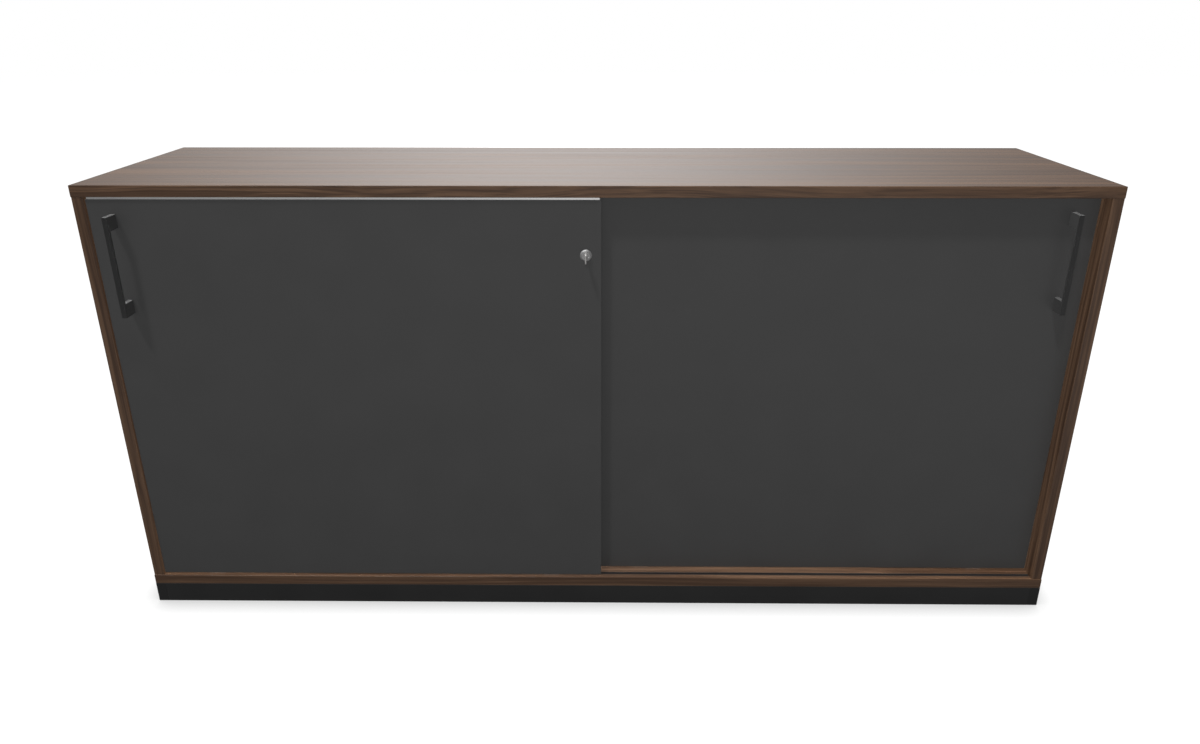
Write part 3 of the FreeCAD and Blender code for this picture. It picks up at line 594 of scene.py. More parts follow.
class Form:
    """A mesh in the making, out of turned, wound, boxed and flat shapes."""

    def __init__(self) -> None:
        """Start with nothing."""
        self.mesh = bmesh.new()

    def ring(self, places: Sequence[Vector]) -> Ring:
        """A row of new vertices."""
        return [self.mesh.verts.new(place) for place in places]

    def stitch(self, first: Ring, second: Ring) -> None:
        """Join two rings of vertices with faces.

        Args:
            first: One ring, or a single vertex for a point.
            second: The next ring, or a single vertex.
        """
        count = max(len(first), len(second))
        for i in range(count):
            j = (i + 1) % count
            corners = [first[i % len(first)], first[j % len(first)],
                       second[j % len(second)], second[i % len(second)]]
            unique = list(dict.fromkeys(corners))
            if len(unique) > 2:
                self.mesh.faces.new(unique)

    def skin(self, rings: Sequence[Ring], looped: bool = False, capped: bool = False) -> None:
        """Join rings in a row.

        Args:
            rings: The rings in order.
            looped: Whether the last ring is joined to the first.
            capped: Whether the first and the last ring are filled.
        """
        for first, second in zip(rings, rings[1:]):
            self.stitch(first, second)
        if looped:
            self.stitch(rings[-1], rings[0])
        if capped:
            self.mesh.faces.new(rings[0])
            self.mesh.faces.new(rings[-1])

    def box(self, low: Vector, high: Vector, radius: float = 0.0, steps: int = 3,
            choose: Callable[[Vector, Vector], bool] | None = None) -> None:
        """A block with rounded edges.

        Args:
            low: Its lowest corner.
            high: Its highest corner.
            radius: The rounding.
            steps: How many faces each rounding has.
            choose: Tells from an edge's two ends, measured from the block's middle, whether it is
                rounded. All are where this is left out.
        """
        middle = (low + high) / 2
        matrix = Matrix.LocRotScale(middle, None, high - low)
        made = bmesh.ops.create_cube(self.mesh, size=1.0, matrix=matrix)["verts"]
        if radius <= 0:
            return
        edges = {edge for vert in made for edge in vert.link_edges}
        if choose:
            edges = {edge for edge in edges if choose(edge.verts[0].co - middle, edge.verts[1].co - middle)}
        bmesh.ops.bevel(self.mesh, geom=list(edges), offset=radius, segments=steps, profile=ROUND_PROFILE,
                        affect="EDGES")

    def turn(self, outline: Sequence[Point], origin: Vector, axis: Vector, sides: int, hollow: bool = False,
             flutes: int = 0, flute_depth: float = 0.0) -> None:
        """A turned shape.

        Args:
            outline: Its (radius, distance along the axis) points.
            origin: Where the distance is 0.
            axis: The direction of the axis.
            sides: How many sides it has.
            hollow: Whether the outline is a closed loop clear of the axis.
            flutes: How many grooves run along it.
            flute_depth: How deep the grooves are.
        """
        turn = facing(axis)
        rings = []
        for radius, distance in outline:
            spots = []
            for side in range(sides if radius > TINY else 1):
                angle = TAU * side / sides
                reach = radius - flute_depth * (1 + math.cos(flutes * angle)) / 2
                spots.append(origin + turn @ polar(reach if radius > TINY else 0.0, angle, distance))
            rings.append(self.ring(spots))
        self.skin(rings, looped=hollow)

    def coil(self, radius: float, wire: float, length: float, turns: int, origin: Vector,
             axis: Vector) -> None:
        """A spring with nearly closed ends.

        Args:
            radius: The radius at the middle of the wire.
            wire: The wire's diameter.
            length: The spring's whole length.
            turns: How many turns it has.
            origin: The middle of its first end.
            axis: The direction that it runs in.
        """
        sides = 10
        steps_a_turn = 28
        closing = 0.65
        turn = facing(axis)
        steps = steps_a_turn * turns
        rings = []
        for step in range(steps + 1):
            share = step / steps
            angle = TAU * turns * share
            eased = (1 - closing) * share + closing * share * share * (3 - 2 * share)
            height = wire / 2 + (length - wire) * eased
            spots = []
            for side in range(sides):
                around = TAU * side / sides
                out = radius + wire / 2 * math.cos(around)
                spots.append(origin + turn @ polar(out, angle, height + wire / 2 * math.sin(around)))
            rings.append(self.ring(spots))
        self.skin(rings, capped=True)

    def thread(self, radius: float, depth: float, pitch: float, length: float, origin: Vector,
               axis: Vector) -> None:
        """A threaded rod.

        Args:
            radius: The radius over the thread.
            depth: The thread's depth.
            pitch: The distance from one turn of the thread to the next.
            length: The rod's length.
            origin: The middle of its first end.
            axis: The direction that it runs in.
        """
        sides = 32
        rows_a_pitch = 6
        turn = facing(axis)
        rows = max(2, round(rows_a_pitch * length / pitch))
        rings = []
        for row in range(rows + 1):
            height = length * row / rows
            spots = []
            for side in range(sides):
                phase = (height / pitch - side / sides) % 1.0
                reach = radius - depth * abs(2 * phase - 1)
                spots.append(origin + turn @ polar(reach, TAU * side / sides, height))
            rings.append(self.ring(spots))
        self.skin(rings, capped=True)

    def plate(self, outline: Sequence[Point], low: float, high: float, edge: float) -> None:
        """A flat plate across X, with a (Y, Z) outline and softened rims.

        Args:
            outline: The plate's outline.
            low: The X of one face.
            high: The X of the other face.
            edge: How much of each rim is taken off.
        """
        middle = Vector((sum(y for y, z in outline), sum(z for y, z in outline))) / len(outline)
        rings = []
        for x, inset in ((low, edge), (low + edge, 0.0), (high - edge, 0.0), (high, edge)):
            spots = []
            for y, z in outline:
                inward = (middle - Vector((y, z))).normalized() * inset
                spots.append(Vector((x, y + inward.x, z + inward.y)))
            rings.append(self.ring(spots))
        self.skin(rings, capped=True)

    def rim(self, low: Vector, high: Vector, band: float, radius: float, flat: int) -> None:
        """A band right round a board's edges, with rounded outer corners.

        Args:
            low: The lowest corner of the banded board.
            high: The highest corner of the banded board.
            band: The band's thickness.
            radius: The rounding of its outer edges.
            flat: The axis that the board's thickness runs along.
        """
        across, along = [axis for axis in range(3) if axis != flat]
        steps = 3
        bow = [QUARTER * i / steps for i in range(steps + 1)]
        lower = [(-radius + radius * math.sin(a), low[flat] + radius - radius * math.cos(a)) for a in bow]
        upper = [(-radius + radius * math.cos(a), high[flat] - radius + radius * math.sin(a)) for a in bow]
        section = [(-band, low[flat])] + lower + upper + [(-band, high[flat])]
        rings = []
        for corner in range(4):
            right = corner in (0, 3)
            far = corner in (0, 1)
            sides = (1 if right else -1, 1 if far else -1)
            tip = (high[across] if right else low[across], high[along] if far else low[along])
            for turned in bow:
                angle = QUARTER * corner + turned
                spots = []
                for out, height in section:
                    spot = Vector((0, 0, 0))
                    spot[flat] = height
                    if out < -radius - TINY:
                        spot[across] = tip[0] + sides[0] * out
                        spot[along] = tip[1] + sides[1] * out
                    else:
                        spot[across] = tip[0] - sides[0] * radius + math.cos(angle) * (radius + out)
                        spot[along] = tip[1] - sides[1] * radius + math.sin(angle) * (radius + out)
                    spots.append(spot)
                rings.append(self.ring(spots))
        self.skin(rings, looped=True)

    def to_mesh(self, name: str) -> bpy.types.Mesh:
        """Close the form and give its mesh.

        Args:
            name: The mesh's name.

        Returns:
            The mesh, with its faces turned outwards.
        """
        bmesh.ops.remove_doubles(self.mesh, verts=self.mesh.verts, dist=MERGE)
        bmesh.ops.dissolve_degenerate(self.mesh, edges=self.mesh.edges, dist=MERGE)
        bmesh.ops.recalc_face_normals(self.mesh, faces=self.mesh.faces)
        mesh = bpy.data.meshes.new(name)
        self.mesh.to_mesh(mesh)
        self.mesh.free()
        return mesh


def placed(name: str, data: bpy.types.ID) -> bpy.types.Object:
    """Put a new object in the scene.

    Args:
        name: The object's name.
        data: Its mesh, lamp or camera.

    Returns:
        The object.
    """
    thing = bpy.data.objects.new(name, data)
    bpy.context.scene.collection.objects.link(thing)
    return thing


def carve(piece: bpy.types.Object, cutter: Form) -> None:
    """Cut a form out of a piece.

    Args:
        piece: The piece to cut.
        cutter: The form to take away.
    """
    tool = placed("cutter", cutter.to_mesh("cutter"))
    change = piece.modifiers.new("cut", "BOOLEAN")
    change.operation = "DIFFERENCE"
    change.solver = "EXACT"
    change.object = tool
    bpy.context.view_layer.update()
    result = bpy.data.meshes.new_from_object(piece.evaluated_get(bpy.context.evaluated_depsgraph_get()))
    piece.modifiers.remove(change)
    old = piece.data
    piece.data = result
    bpy.data.meshes.remove(old)
    bpy.data.objects.remove(tool)


class Assembly:
    """A sub-assembly, which adds its own pieces and dresses its CAD nodes."""

    sharp_angle: ClassVar[float] = math.radians(40)
    edge_angle: ClassVar[float] = math.radians(50)
    edge_steps: ClassVar[int] = 2

    def add(self, name: str, form: Form, finish: Finish | Sequence[Finish], body: str, slot: str,
            replaces: Sequence[str], cutter: Form | None = None,
            pick: Callable[[Vector], int] | None = None) -> bpy.types.Object:
        """Make a piece that stands for CAD nodes and moves with a body.

        Args:
            name: The piece's name.
            form: Its shape.
            finish: Its finish, or several.
            body: The body that it rides on.
            slot: The record's material slot; not used.
            replaces: The CAD nodes that it stands for.
            cutter: A shape to cut out of it.
            pick: Tells from a face's middle which of several finishes it has.

        Returns:
            The piece.
        """
        piece = placed(name, form.to_mesh(name))
        if cutter:
            carve(piece, cutter)
        finishes = [finish] if isinstance(finish, Finish) else finish
        piece.data.materials.clear()
        for each in finishes:
            piece.data.materials.append(each.material())
        if pick:
            for face in piece.data.polygons:
                face.material_index = pick(face.center)
        piece.data.shade_smooth()
        piece.data.set_sharp_from_angle(angle=self.sharp_angle)
        piece.modifiers.new("even_shading", "WEIGHTED_NORMAL").keep_sharp = True
        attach(piece, body)
        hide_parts(*replaces)
        log.info("%s rides on %s and stands for %s", name, body, ", ".join(replaces))
        return piece

    def dress(self, node: str, finish: Finish, edge: float = 0.0) -> None:
        """Give a CAD node its finish, and softened edges where they show.

        Args:
            node: The node's name.
            finish: Its finish.
            edge: How far its sharp edges are rounded.
        """
        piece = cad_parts[node]
        piece.data.materials.clear()
        piece.data.materials.append(finish.material())
        if edge > 0:
            piece.modifiers.new("close_seams", "WELD").merge_threshold = MERGE
            bevel = piece.modifiers.new("soft_edges", "BEVEL")
            bevel.width = edge
            bevel.segments = self.edge_steps
            bevel.limit_method = "ANGLE"
            bevel.angle_limit = self.edge_angle
            piece.modifiers.new("even_shading", "WEIGHTED_NORMAL").keep_sharp = True
        log.info("%s keeps its CAD shape in %s", node, finish.name)


@dataclass
class Carcass(Assembly):
    """The boards, their bands, and what is fixed in or on them."""

    body: str = "carcass"
    board_edge: float = 0.4 * MM
    stop_edge: float = 0.4 * MM
    band: float = 2 * MM
    band_round: float = 0.9 * MM
    top_band_drift: Pattern = Pattern(2.4, 5.0, 2.0)
    top_band_reach: float = 40 * MM
    pin_sides: int = 24
    pin_collar: float = 0.9 * MM
    pin_collar_depth: float = 0.4 * MM
    pin_chamfer: float = 0.6 * MM
    dowel_sides: int = 64
    dowel_flutes: int = 16
    dowel_flute_depth: float = 0.25 * MM
    dowel_chamfer: float = 0.8 * MM
    buffer_sides: int = 28
    # Shares of the buffer's radius and of its rise.
    buffer_stem: float = 0.6
    buffer_dome: tuple[Point, ...] = ((1.0, 0.0), (1.0, 0.4), (0.9, 0.75), (0.6, 0.95), (0.0, 1.0))

    def build(self) -> None:
        """Build and dress the carcass."""
        self.dress_boards()
        self.band_flat_boards()
        self.band_sides()
        self.turn_shelf_pins()
        self.turn_dowels()
        self.mould_buffers()
        self.dress_tracks()

    def dress_boards(self) -> None:
        """Give each board its grain."""
        # The top's tone of 1.26 makes it paler than the other walnut boards: painted light from above,
        # besides what the lamps give it.
        top = walnut("walnut_top", Grain.ALONG_X, tone=1.26, contrast=0.7, fine=0.5, rough=(0.13, 0.28))
        self.dress("top_panel", top)
        self.dress("bottom_panel", walnut("walnut_bottom", Grain.ALONG_X))
        self.dress("left_side_panel", walnut("walnut_left_side", Grain.ALONG_Z, contrast=0.85))
        self.dress("right_side_panel", walnut("walnut_right_side", Grain.ALONG_Z, tone=0.95, contrast=1.2))
        self.dress("centre_partition", walnut("walnut_partition", Grain.ALONG_Z), self.board_edge)
        self.dress("back_panel", walnut("walnut_back", Grain.ALONG_X, contrast=0.75))
        for side in ("left", "right"):
            self.dress(f"{side}_shelf", walnut(f"walnut_{side}_shelf", Grain.ALONG_X), self.board_edge)

    def band_flat_boards(self) -> None:
        """Band the top and bottom boards right round, with the grain along each band."""
        long_sides = {
            "top": walnut("walnut_top_band", Grain.ALONG_X, tone=0.98, contrast=0.9, fine=1.5,
                          drift=self.top_band_drift, drift_reach=self.top_band_reach),
            "bottom": walnut("walnut_bottom_band", Grain.ALONG_X, tone=0.92, contrast=0.8),
        }
        ends = walnut("walnut_end_band", Grain.ALONG_Y)
        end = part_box("top_panel")[1].x

        def on_end(middle: Vector) -> int:
            """Which finish a face has: the second on the boards' ends."""
            return int(abs(middle.x) > end)

        for board, long_side in long_sides.items():
            low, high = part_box(f"{board}_panel")
            grow = Vector((self.band, self.band, 0))
            form = Form()
            form.rim(low - grow, high + grow, self.band, self.band_round, 2)
            self.add(f"{board}_edge_band", form, [long_side, ends], self.body, "walnut_band",
                     ["horizontal_edge_bands"], pick=on_end)

    def band_sides(self) -> None:
        """Band the front edges of the side boards, the left one a little darker."""

        def front_upright(start: Vector, end: Vector) -> bool:
            """Whether an edge runs up the front."""
            return start.y < 0 and end.y < 0 and abs(start.z - end.z) > TINY

        tones = {"left": 0.82, "right": 1.0}
        for side, (low, high) in zip(tones, solid_boxes("upright_edge_bands")):
            form = Form()
            form.box(low, high, self.band_round, choose=front_upright)
            finish = walnut(f"walnut_{side}_band", Grain.ALONG_Z, tone=tones[side])
            self.add(f"{side}_edge_band", form, finish, self.body, "walnut_band", ["upright_edge_bands"])

    def turn_shelf_pins(self) -> None:
        """Shelf pins with a thin collar against the board."""
        boards = ("left_side_panel", "right_side_panel", "centre_partition")
        faces = [corner.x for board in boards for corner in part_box(board)]
        form = Form()
        for low, high in solid_boxes("shelf_pins"):
            face = next(x for x in faces if low.x < x < high.x)
            inward = 1 if abs(high.x - face) > abs(low.x - face) else -1
            middle = (low + high) / 2
            radius = (high.z - low.z) / 2
            start = Vector((low.x if inward > 0 else high.x, middle.y, middle.z))
            buried = abs(face - start.x)
            length = high.x - low.x
            collar = radius + self.pin_collar
            outline = [
                (0, 0),
                (radius - self.pin_chamfer, 0),
                (radius, self.pin_chamfer),
                (radius, buried),
                (collar, buried),
                (collar, buried + self.pin_collar_depth),
                (radius, buried + self.pin_collar_depth),
                (radius, length - self.pin_chamfer),
                (radius - self.pin_chamfer, length),
                (0, length),
            ]
            form.turn(outline, start, X_AXIS * inward, self.pin_sides)
        self.add("shelf_pin_set", form, ZINC, self.body, "steel", ["shelf_pins"])

    def turn_dowels(self) -> None:
        """Fluted dowels with chamfered ends."""
        form = Form()
        for low, high in solid_boxes("carcass_dowels"):
            radius = (high.x - low.x) / 2
            length = high.z - low.z
            chamfer = self.dowel_chamfer
            outline = [(0, 0), (radius - chamfer, 0), (radius, chamfer), (radius, length - chamfer),
                       (radius - chamfer, length), (0, length)]
            form.turn(outline, foot_of(low, high), Z_AXIS, self.dowel_sides, flutes=self.dowel_flutes,
                      flute_depth=self.dowel_flute_depth)
        self.add("dowel_set", form, BEECH, self.body, "dowel_wood", ["carcass_dowels"])

    def mould_buffers(self) -> None:
        """Domed door buffers on stems."""
        form = Form()
        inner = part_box("right_side_panel")[0].x
        for low, high in solid_boxes("door_buffers"):
            side = 1 if low.x > 0 else -1
            middle = (low + high) / 2
            radius = (high.z - low.z) / 2
            rise = inner - min(abs(low.x), abs(high.x))
            stem = max(abs(low.x), abs(high.x)) - inner
            stem_radius = self.buffer_stem * radius
            outline = [(0, -stem), (stem_radius, -stem), (stem_radius, 0)]
            outline += [(out * radius, up * rise) for out, up in self.buffer_dome]
            form.turn(outline, Vector((side * inner, middle.y, middle.z)), X_AXIS * -side, self.buffer_sides)
        self.add("buffer_set", form, RUBBER, self.body, "buffer_rubber", ["door_buffers"])

    def dress_tracks(self) -> None:
        """Tracks and their end stops."""
        for lane in Door:
            for level in ("lower", "upper"):
                self.dress(f"{lane.value}_{level}_track", TRACK_PLASTIC)
        self.dress("track_stops", BLACK_PLASTIC, self.stop_edge)


@dataclass
class Plinth(Assembly):
    """The plinth's boards, and the levellers behind them."""

    edge: float = 0.5 * MM
    stem_radius: float = 5 * MM
    thread_depth: float = 0.55 * MM
    thread_pitch: float = 1.5 * MM
    pad_sides: int = 56
    pad_height: float = 5.7 * MM
    pad_wall: float = 3.42 * MM
    pad_round: float = 1.2 * MM
    collar_radius: float = 8 * MM
    corners: tuple[str, ...] = ("front_left", "front_right", "rear_left", "rear_right")

    def build(self) -> None:
        """Build and dress the plinth."""
        for board in ("front", "back", "brace"):
            self.dress(f"plinth_{board}", BLACK_LAMINATE, self.edge)
        # The ends' darker laminate is painted shade.
        self.dress("plinth_ends", BLACK_END_PAINTED_SHADE, self.edge)
        self.dress("leveller_housings", BLACK_PLASTIC, self.edge)
        for corner in self.corners:
            self.turn_leveller(f"{corner}_leveller")

    def turn_leveller(self, node: str) -> None:
        """A threaded stem on a moulded pad.

        Args:
            node: The leveller's CAD node, which is a body of its own.
        """
        low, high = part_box(node)
        foot = foot_of(low, high)
        pad = (high.x - low.x) / 2
        corners = [(0, 0), (pad, 0), (pad, self.pad_wall), (self.collar_radius, self.pad_height),
                   (0, self.pad_height)]
        form = Form()
        form.turn(softened(corners, self.pad_round), foot, Z_AXIS, self.pad_sides)
        start = foot + Z_AXIS * self.pad_height
        form.thread(self.stem_radius, self.thread_depth, self.thread_pitch, high.z - start.z, start, Z_AXIS)

        def on_stem(middle: Vector) -> int:
            """Which finish a face has: the second above the pad."""
            return int(middle.z > start.z + TINY)

        self.add(f"{node}_foot", form, [BLACK_PLASTIC, ZINC], node, "black_plastic", [node], pick=on_stem)


@dataclass
class SlidingDoor(Assembly):
    """One door with its bands, handle, rollers and guides."""

    door: Door
    strip_edge: float = 0.25 * MM
    plastic_edge: float = 0.3 * MM
    axle_edge: float = 0.2 * MM
    band: float = 2 * MM
    band_round: float = 0.8 * MM
    cut_margin: float = 0.02 * MM
    wire: float = 0.8 * MM
    spring_turns: int = 8
    guide_press: float = 8 * MM
    screw_sides: int = 32
    screw_pitch: float = 0.7 * MM
    recess_width: float = 0.9 * MM
    recess_depth: float = 1.6 * MM
    # Shares of the screw head's radius, and of the shank's.
    shank_share: float = 0.5
    recess_share: float = 0.5
    thread_share: float = 0.18
    roller_sides: int = 64
    tyre_round: float = 0.8 * MM
    tyre_steps: int = 3
    web_depth: float = 0.7 * MM
    # Shares of the roller's radius.
    bore_share: float = 0.146
    hub_share: float = 0.36
    tyre_share: float = 0.78

    @property
    def body(self) -> str:
        """The body that the door's pieces ride on."""
        return f"{self.door.value}_door"

    def build(self) -> None:
        """Build and dress the door."""
        self.dress(f"{self.body}_panel", MELAMINE)
        # The head strip's bright metal is partly painted reflection.
        self.dress(f"{self.body}_head_strip", HEAD_STRIP_PAINTED_GLINT, self.strip_edge)
        self.dress(f"{self.body}_handle", POWDER_COAT)
        self.dress(f"{self.body}_roller_housings", BLACK_PLASTIC, self.plastic_edge)
        self.dress(f"{self.body}_guide_sockets", BLACK_PLASTIC, self.plastic_edge)
        self.dress(f"{self.body}_roller_axles", ZINC, self.axle_edge)
        self.band_edges()
        self.turn_handle_screws()
        for side in ("left", "right"):
            name = f"{self.door.value}_{side}"
            self.dress(f"{name}_guide_pin", WHITE_ACETAL)
            self.turn_roller(f"{name}_roller")
        self.wind_springs()

    def band_edges(self) -> None:
        """Band the door right round, with gaps for its housings and sockets."""
        low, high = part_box(f"{self.body}_panel")
        grow = Vector((self.band, 0, self.band))
        form = Form()
        form.rim(low - grow, high + grow, self.band, self.band_round, 1)
        cutter = Form()
        spare = Vector((self.cut_margin, self.cut_margin, 2 * self.band))
        for node in ("roller_housings", "guide_sockets"):
            for start, end in solid_boxes(f"{self.body}_{node}"):
                cutter.box(start - spare, end + spare)
        self.add(f"{self.body}_band", form, DOOR_BAND, self.body, "anthracite_band",
                 [f"{self.body}_edge_bands"], cutter)

    def turn_handle_screws(self) -> None:
        """Countersunk screws with cross recesses, driven from the door's back."""
        form = Form()
        cutter = Form()
        for low, high in solid_boxes(f"{self.body}_handle_screws"):
            head = Vector(((low.x + high.x) / 2, high.y, (low.z + high.z) / 2))
            radius = (high.x - low.x) / 2
            shank = self.shank_share * radius
            taper = radius - shank
            neck = 2 * taper
            form.turn([(0, 0), (radius, 0), (shank, taper), (shank, neck), (0, neck)], head, -Y_AXIS,
                      self.screw_sides)
            form.thread(shank, self.thread_share * shank, self.screw_pitch, high.y - low.y - neck,
                        head - Y_AXIS * neck, -Y_AXIS)
            arm = self.recess_share * radius
            half = self.recess_width / 2
            depth = Vector((0, self.recess_depth, 0))
            for reach in (Vector((arm, 0, half)), Vector((half, 0, arm))):
                cutter.box(head - reach - depth, head + reach + depth)
        self.add(f"{self.body}_screw_set", form, ZINC, self.body, "steel",
                 [f"{self.body}_handle_screws"], cutter)

    def turn_roller(self, node: str) -> None:
        """A roller with a rounded tyre, a thinner web and a hub.

        Args:
            node: The roller's CAD node, which is a body of its own.
        """
        low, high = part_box(node)
        radius = (high.x - low.x) / 2
        half = (high.y - low.y) / 2
        bore = self.bore_share * radius
        hub = self.hub_share * radius
        tyre = self.tyre_share * radius
        web = half - self.web_depth
        outline = [(bore, -half), (hub, -half), (hub, -web), (tyre, -web), (tyre, -half), (radius, -half)]
        mirrored = [(reach, -depth) for reach, depth in reversed(outline)]
        rounded = softened(outline + mirrored, self.tyre_round, self.tyre_steps, loop=True)
        form = Form()
        form.turn(rounded, (low + high) / 2, Y_AXIS, self.roller_sides, hollow=True)
        self.add(f"{node}_wheel", form, WHITE_ACETAL, node, "light_plastic", [node])

    def wind_springs(self) -> None:
        """The guide pins' springs."""
        node = f"{self.body}_guide_springs"
        for side, (low, high) in zip(("left", "right"), solid_boxes(node)):
            foot = foot_of(low, high)
            radius = (high.x - low.x - self.wire) / 2
            length = high.z - low.z
            form = Form()
            form.coil(radius, self.wire, length, self.spring_turns, foot, Z_AXIS)
            name = f"{self.door.value}_{side}_guide"
            spring = self.add(f"{name}_spring", form, SPRING_WIRE, self.body, "steel", [node])
            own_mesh(spring)


@dataclass
class PushLock(Assembly):
    """The lock in the front door, its key, and the strike plate on the rear door."""

    sides: int = 96
    lip: float = 0.6 * MM
    edge: float = 0.7 * MM
    soft: float = 0.45 * MM
    plug_edge: float = 0.15 * MM
    strike_edge: float = 0.2 * MM
    body_radius: float = 8 * MM
    bolt_radius: float = 3.5 * MM
    plug_radius: float = 4.55 * MM
    plug_depth: float = 11.05 * MM
    rear_wall: float = 2.5 * MM
    gap: float = 0.05 * MM
    wire: float = 0.8 * MM
    spring_turns: int = 3
    travel: float = 6 * MM
    bow_length: float = 19.5 * MM
    bow_corner: float = 3 * MM
    bow_steps: int = 8
    rim_edge: float = 0.25 * MM
    eye_inset: float = 5.5 * MM
    eye_radius: float = 2.5 * MM
    eye_sides: int = 32
    blade_height: float = 7 * MM
    bites: tuple[float, ...] = (1.1 * MM, 2.0 * MM, 0.7 * MM, 1.6 * MM)
    # Shares of the blade's length: its plain tip, and the stretch that is notched.
    tip_share: float = 0.08
    bitted_share: float = 0.72
    # Where a notch's floor starts and ends, as shares of its run.
    notch_floor: Pair = (0.35, 0.65)
    # The tip's slope, in shares of half the blade's height: back from the tip, then up and down.
    tip_slope: Triple = (0.5, 0.2, 0.6)
    groove_depth: float = 0.45 * MM
    # The groove's sides, in shares of half the blade's height.
    groove_sides: Pair = (-0.2, 0.25)
    cut_margin: float = 1 * MM
    face: float = field(init=False)
    centre: Vector = field(init=False)
    barrel_radius: float = field(init=False)
    nickel: TurnedFinish = field(init=False)

    def __post_init__(self) -> None:
        """Read the lock's place from the frame."""
        low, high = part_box("lock_housing")
        self.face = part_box("front_door_panel")[0].y
        self.centre = Vector(((low.x + high.x) / 2, self.face, (low.z + high.z) / 2))
        barrel_low, barrel_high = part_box("lock_barrel")
        self.barrel_radius = (barrel_high.x - barrel_low.x) / 2
        self.nickel = TurnedFinish("satin_nickel", even(0.48), even(0.58), (0.52, 0.62), tuple(self.centre))

    def build(self) -> None:
        """Build and dress the lock."""
        self.turn_housing()
        self.turn_barrel()
        self.wind_spring()
        self.dress("lock_plug", self.nickel, self.plug_edge)
        self.cut_key()
        self.dress("strike_plate", ZINC, self.strike_edge)
        self.dress("strike_screws", ZINC)

    def turn_housing(self) -> None:
        """The rosette with its sloped ring, and the case behind it."""
        low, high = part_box("lock_housing")
        rosette = (high.x - low.x) / 2
        rise = low.y - self.face
        depth = high.y - self.face
        bore = self.barrel_radius + self.gap
        bolt_bore = self.bolt_radius + self.gap
        wall = depth - self.rear_wall
        outline = [(bore, wall), (bore, rise), (bore + self.lip, rise), (rosette, -self.edge), (rosette, 0),
                   (self.body_radius, 0), (self.body_radius, depth), (bolt_bore, depth), (bolt_bore, wall)]
        form = Form()
        form.turn(softened(outline, self.soft, loop=True), self.centre, Y_AXIS, self.sides, hollow=True)
        self.add("lock_rosette", form, self.nickel, "front_door", "lock_metal", ["lock_housing"])

    def turn_barrel(self) -> None:
        """The barrel that is pushed, with its bolt and a square corner between them for the spring."""
        low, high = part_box("lock_barrel")
        front = low.y - self.face
        tip = high.y - self.face
        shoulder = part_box("lock_spring")[0].y - self.face
        pocket = front + self.plug_depth
        radius = self.barrel_radius
        corner = (self.bolt_radius, shoulder)
        drum = [(0, pocket), (self.plug_radius, pocket), (self.plug_radius, front), (radius, front),
                (radius, shoulder), corner]
        bolt = [corner, (self.bolt_radius, tip), (0, tip)]
        outline = softened(drum, self.soft) + softened(bolt, self.soft)[1:]
        form = Form()
        form.turn(outline, self.centre, Y_AXIS, self.sides)
        self.add("lock_push_barrel", form, self.nickel, "lock_barrel", "lock_metal", ["lock_barrel"])

    def wind_spring(self) -> None:
        """The lock's spring."""
        low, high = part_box("lock_spring")
        length = high.y - low.y
        radius = (high.x - low.x - self.wire) / 2
        form = Form()
        end = Vector((self.centre.x, high.y, self.centre.z))
        form.coil(radius, self.wire, length - self.gap, self.spring_turns, end, -Y_AXIS)
        spring = self.add("lock_return_spring", form, SPRING_WIRE, "front_door", "steel", ["lock_spring"])
        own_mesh(spring)

    def cut_key(self) -> None:
        """The key: a bow with an eye, and a notched blade with a groove in each side."""
        low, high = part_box("key")
        middle = (low.z + high.z) / 2
        shoulder = low.y + self.bow_length
        bow = softened([(shoulder, low.z), (low.y, low.z), (low.y, high.z), (shoulder, high.z)],
                       self.bow_corner, self.bow_steps)
        form = Form()
        form.plate(bow + self.blade_outline(shoulder, high.y, middle), low.x, high.x, self.rim_edge)
        cutter = Form()
        eye = Vector((low.x - self.cut_margin, low.y + self.eye_inset, middle))
        through = high.x - low.x + 2 * self.cut_margin
        cutter.turn([(0, 0), (self.eye_radius, 0), (self.eye_radius, through), (0, through)], eye, X_AXIS,
                    self.eye_sides)
        floor, roof = [middle + share * self.blade_height / 2 for share in self.groove_sides]
        for side in (low.x, high.x):
            cutter.box(Vector((side - self.groove_depth, shoulder - self.cut_margin, floor)),
                       Vector((side + self.groove_depth, high.y + self.cut_margin, roof)))
        self.add("lock_key", form, KEY_NICKEL, "key", "key_metal", ["key"], cutter)

    def blade_outline(self, shoulder: float, tip: float, middle: float) -> list[Point]:
        """The key's blade, from the top of its shoulder round to the underside.

        Args:
            shoulder: The Y where the blade leaves the bow.
            tip: The Y of the blade's end.
            middle: The Z of the blade's middle.

        Returns:
            Its (Y, Z) points.
        """
        half = self.blade_height / 2
        under = middle - half
        back, up, down = [share * half for share in self.tip_slope]
        points = [(shoulder, middle + half), (tip - back, middle + half), (tip, middle + up),
                  (tip, middle - down)]
        length = tip - shoulder
        run = self.bitted_share * length / len(self.bites)
        for i, bite in enumerate(self.bites):
            start = tip - self.tip_share * length - i * run
            points.append((start, under))
            points += [(start - share * run, under + bite) for share in self.notch_floor]
        return points + [(shoulder, under)]


@dataclass(frozen=True)
class Lamp:
    """A round soft lamp that casts no shadow: a fill for the whole cabinet, or an accent for one piece."""

    name: str
    place: Triple
    watts: float
    only: str | None = None
    radius: float = 0.6

    def hang(self) -> None:
        """Hang the lamp; a fill shows in no reflection, and an accent lights its piece alone."""
        data = bpy.data.lights.new(self.name, "POINT")
        data.energy = self.watts
        data.shadow_soft_size = self.radius
        data.use_shadow = False
        lamp = placed(self.name, data)
        lamp.location = self.place
        if self.only:
            lit = bpy.data.collections.new(f"{self.name}_only")
            lit.objects.link(bpy.data.objects[self.only])
            lamp.light_linking.receiver_collection = lit
        else:
            lamp.visible_glossy = False


@dataclass(frozen=True)
class Pool:
    """A soft bright spot on the backdrop, which reflections show."""

    direction: Triple
    peak: float
    spread: float


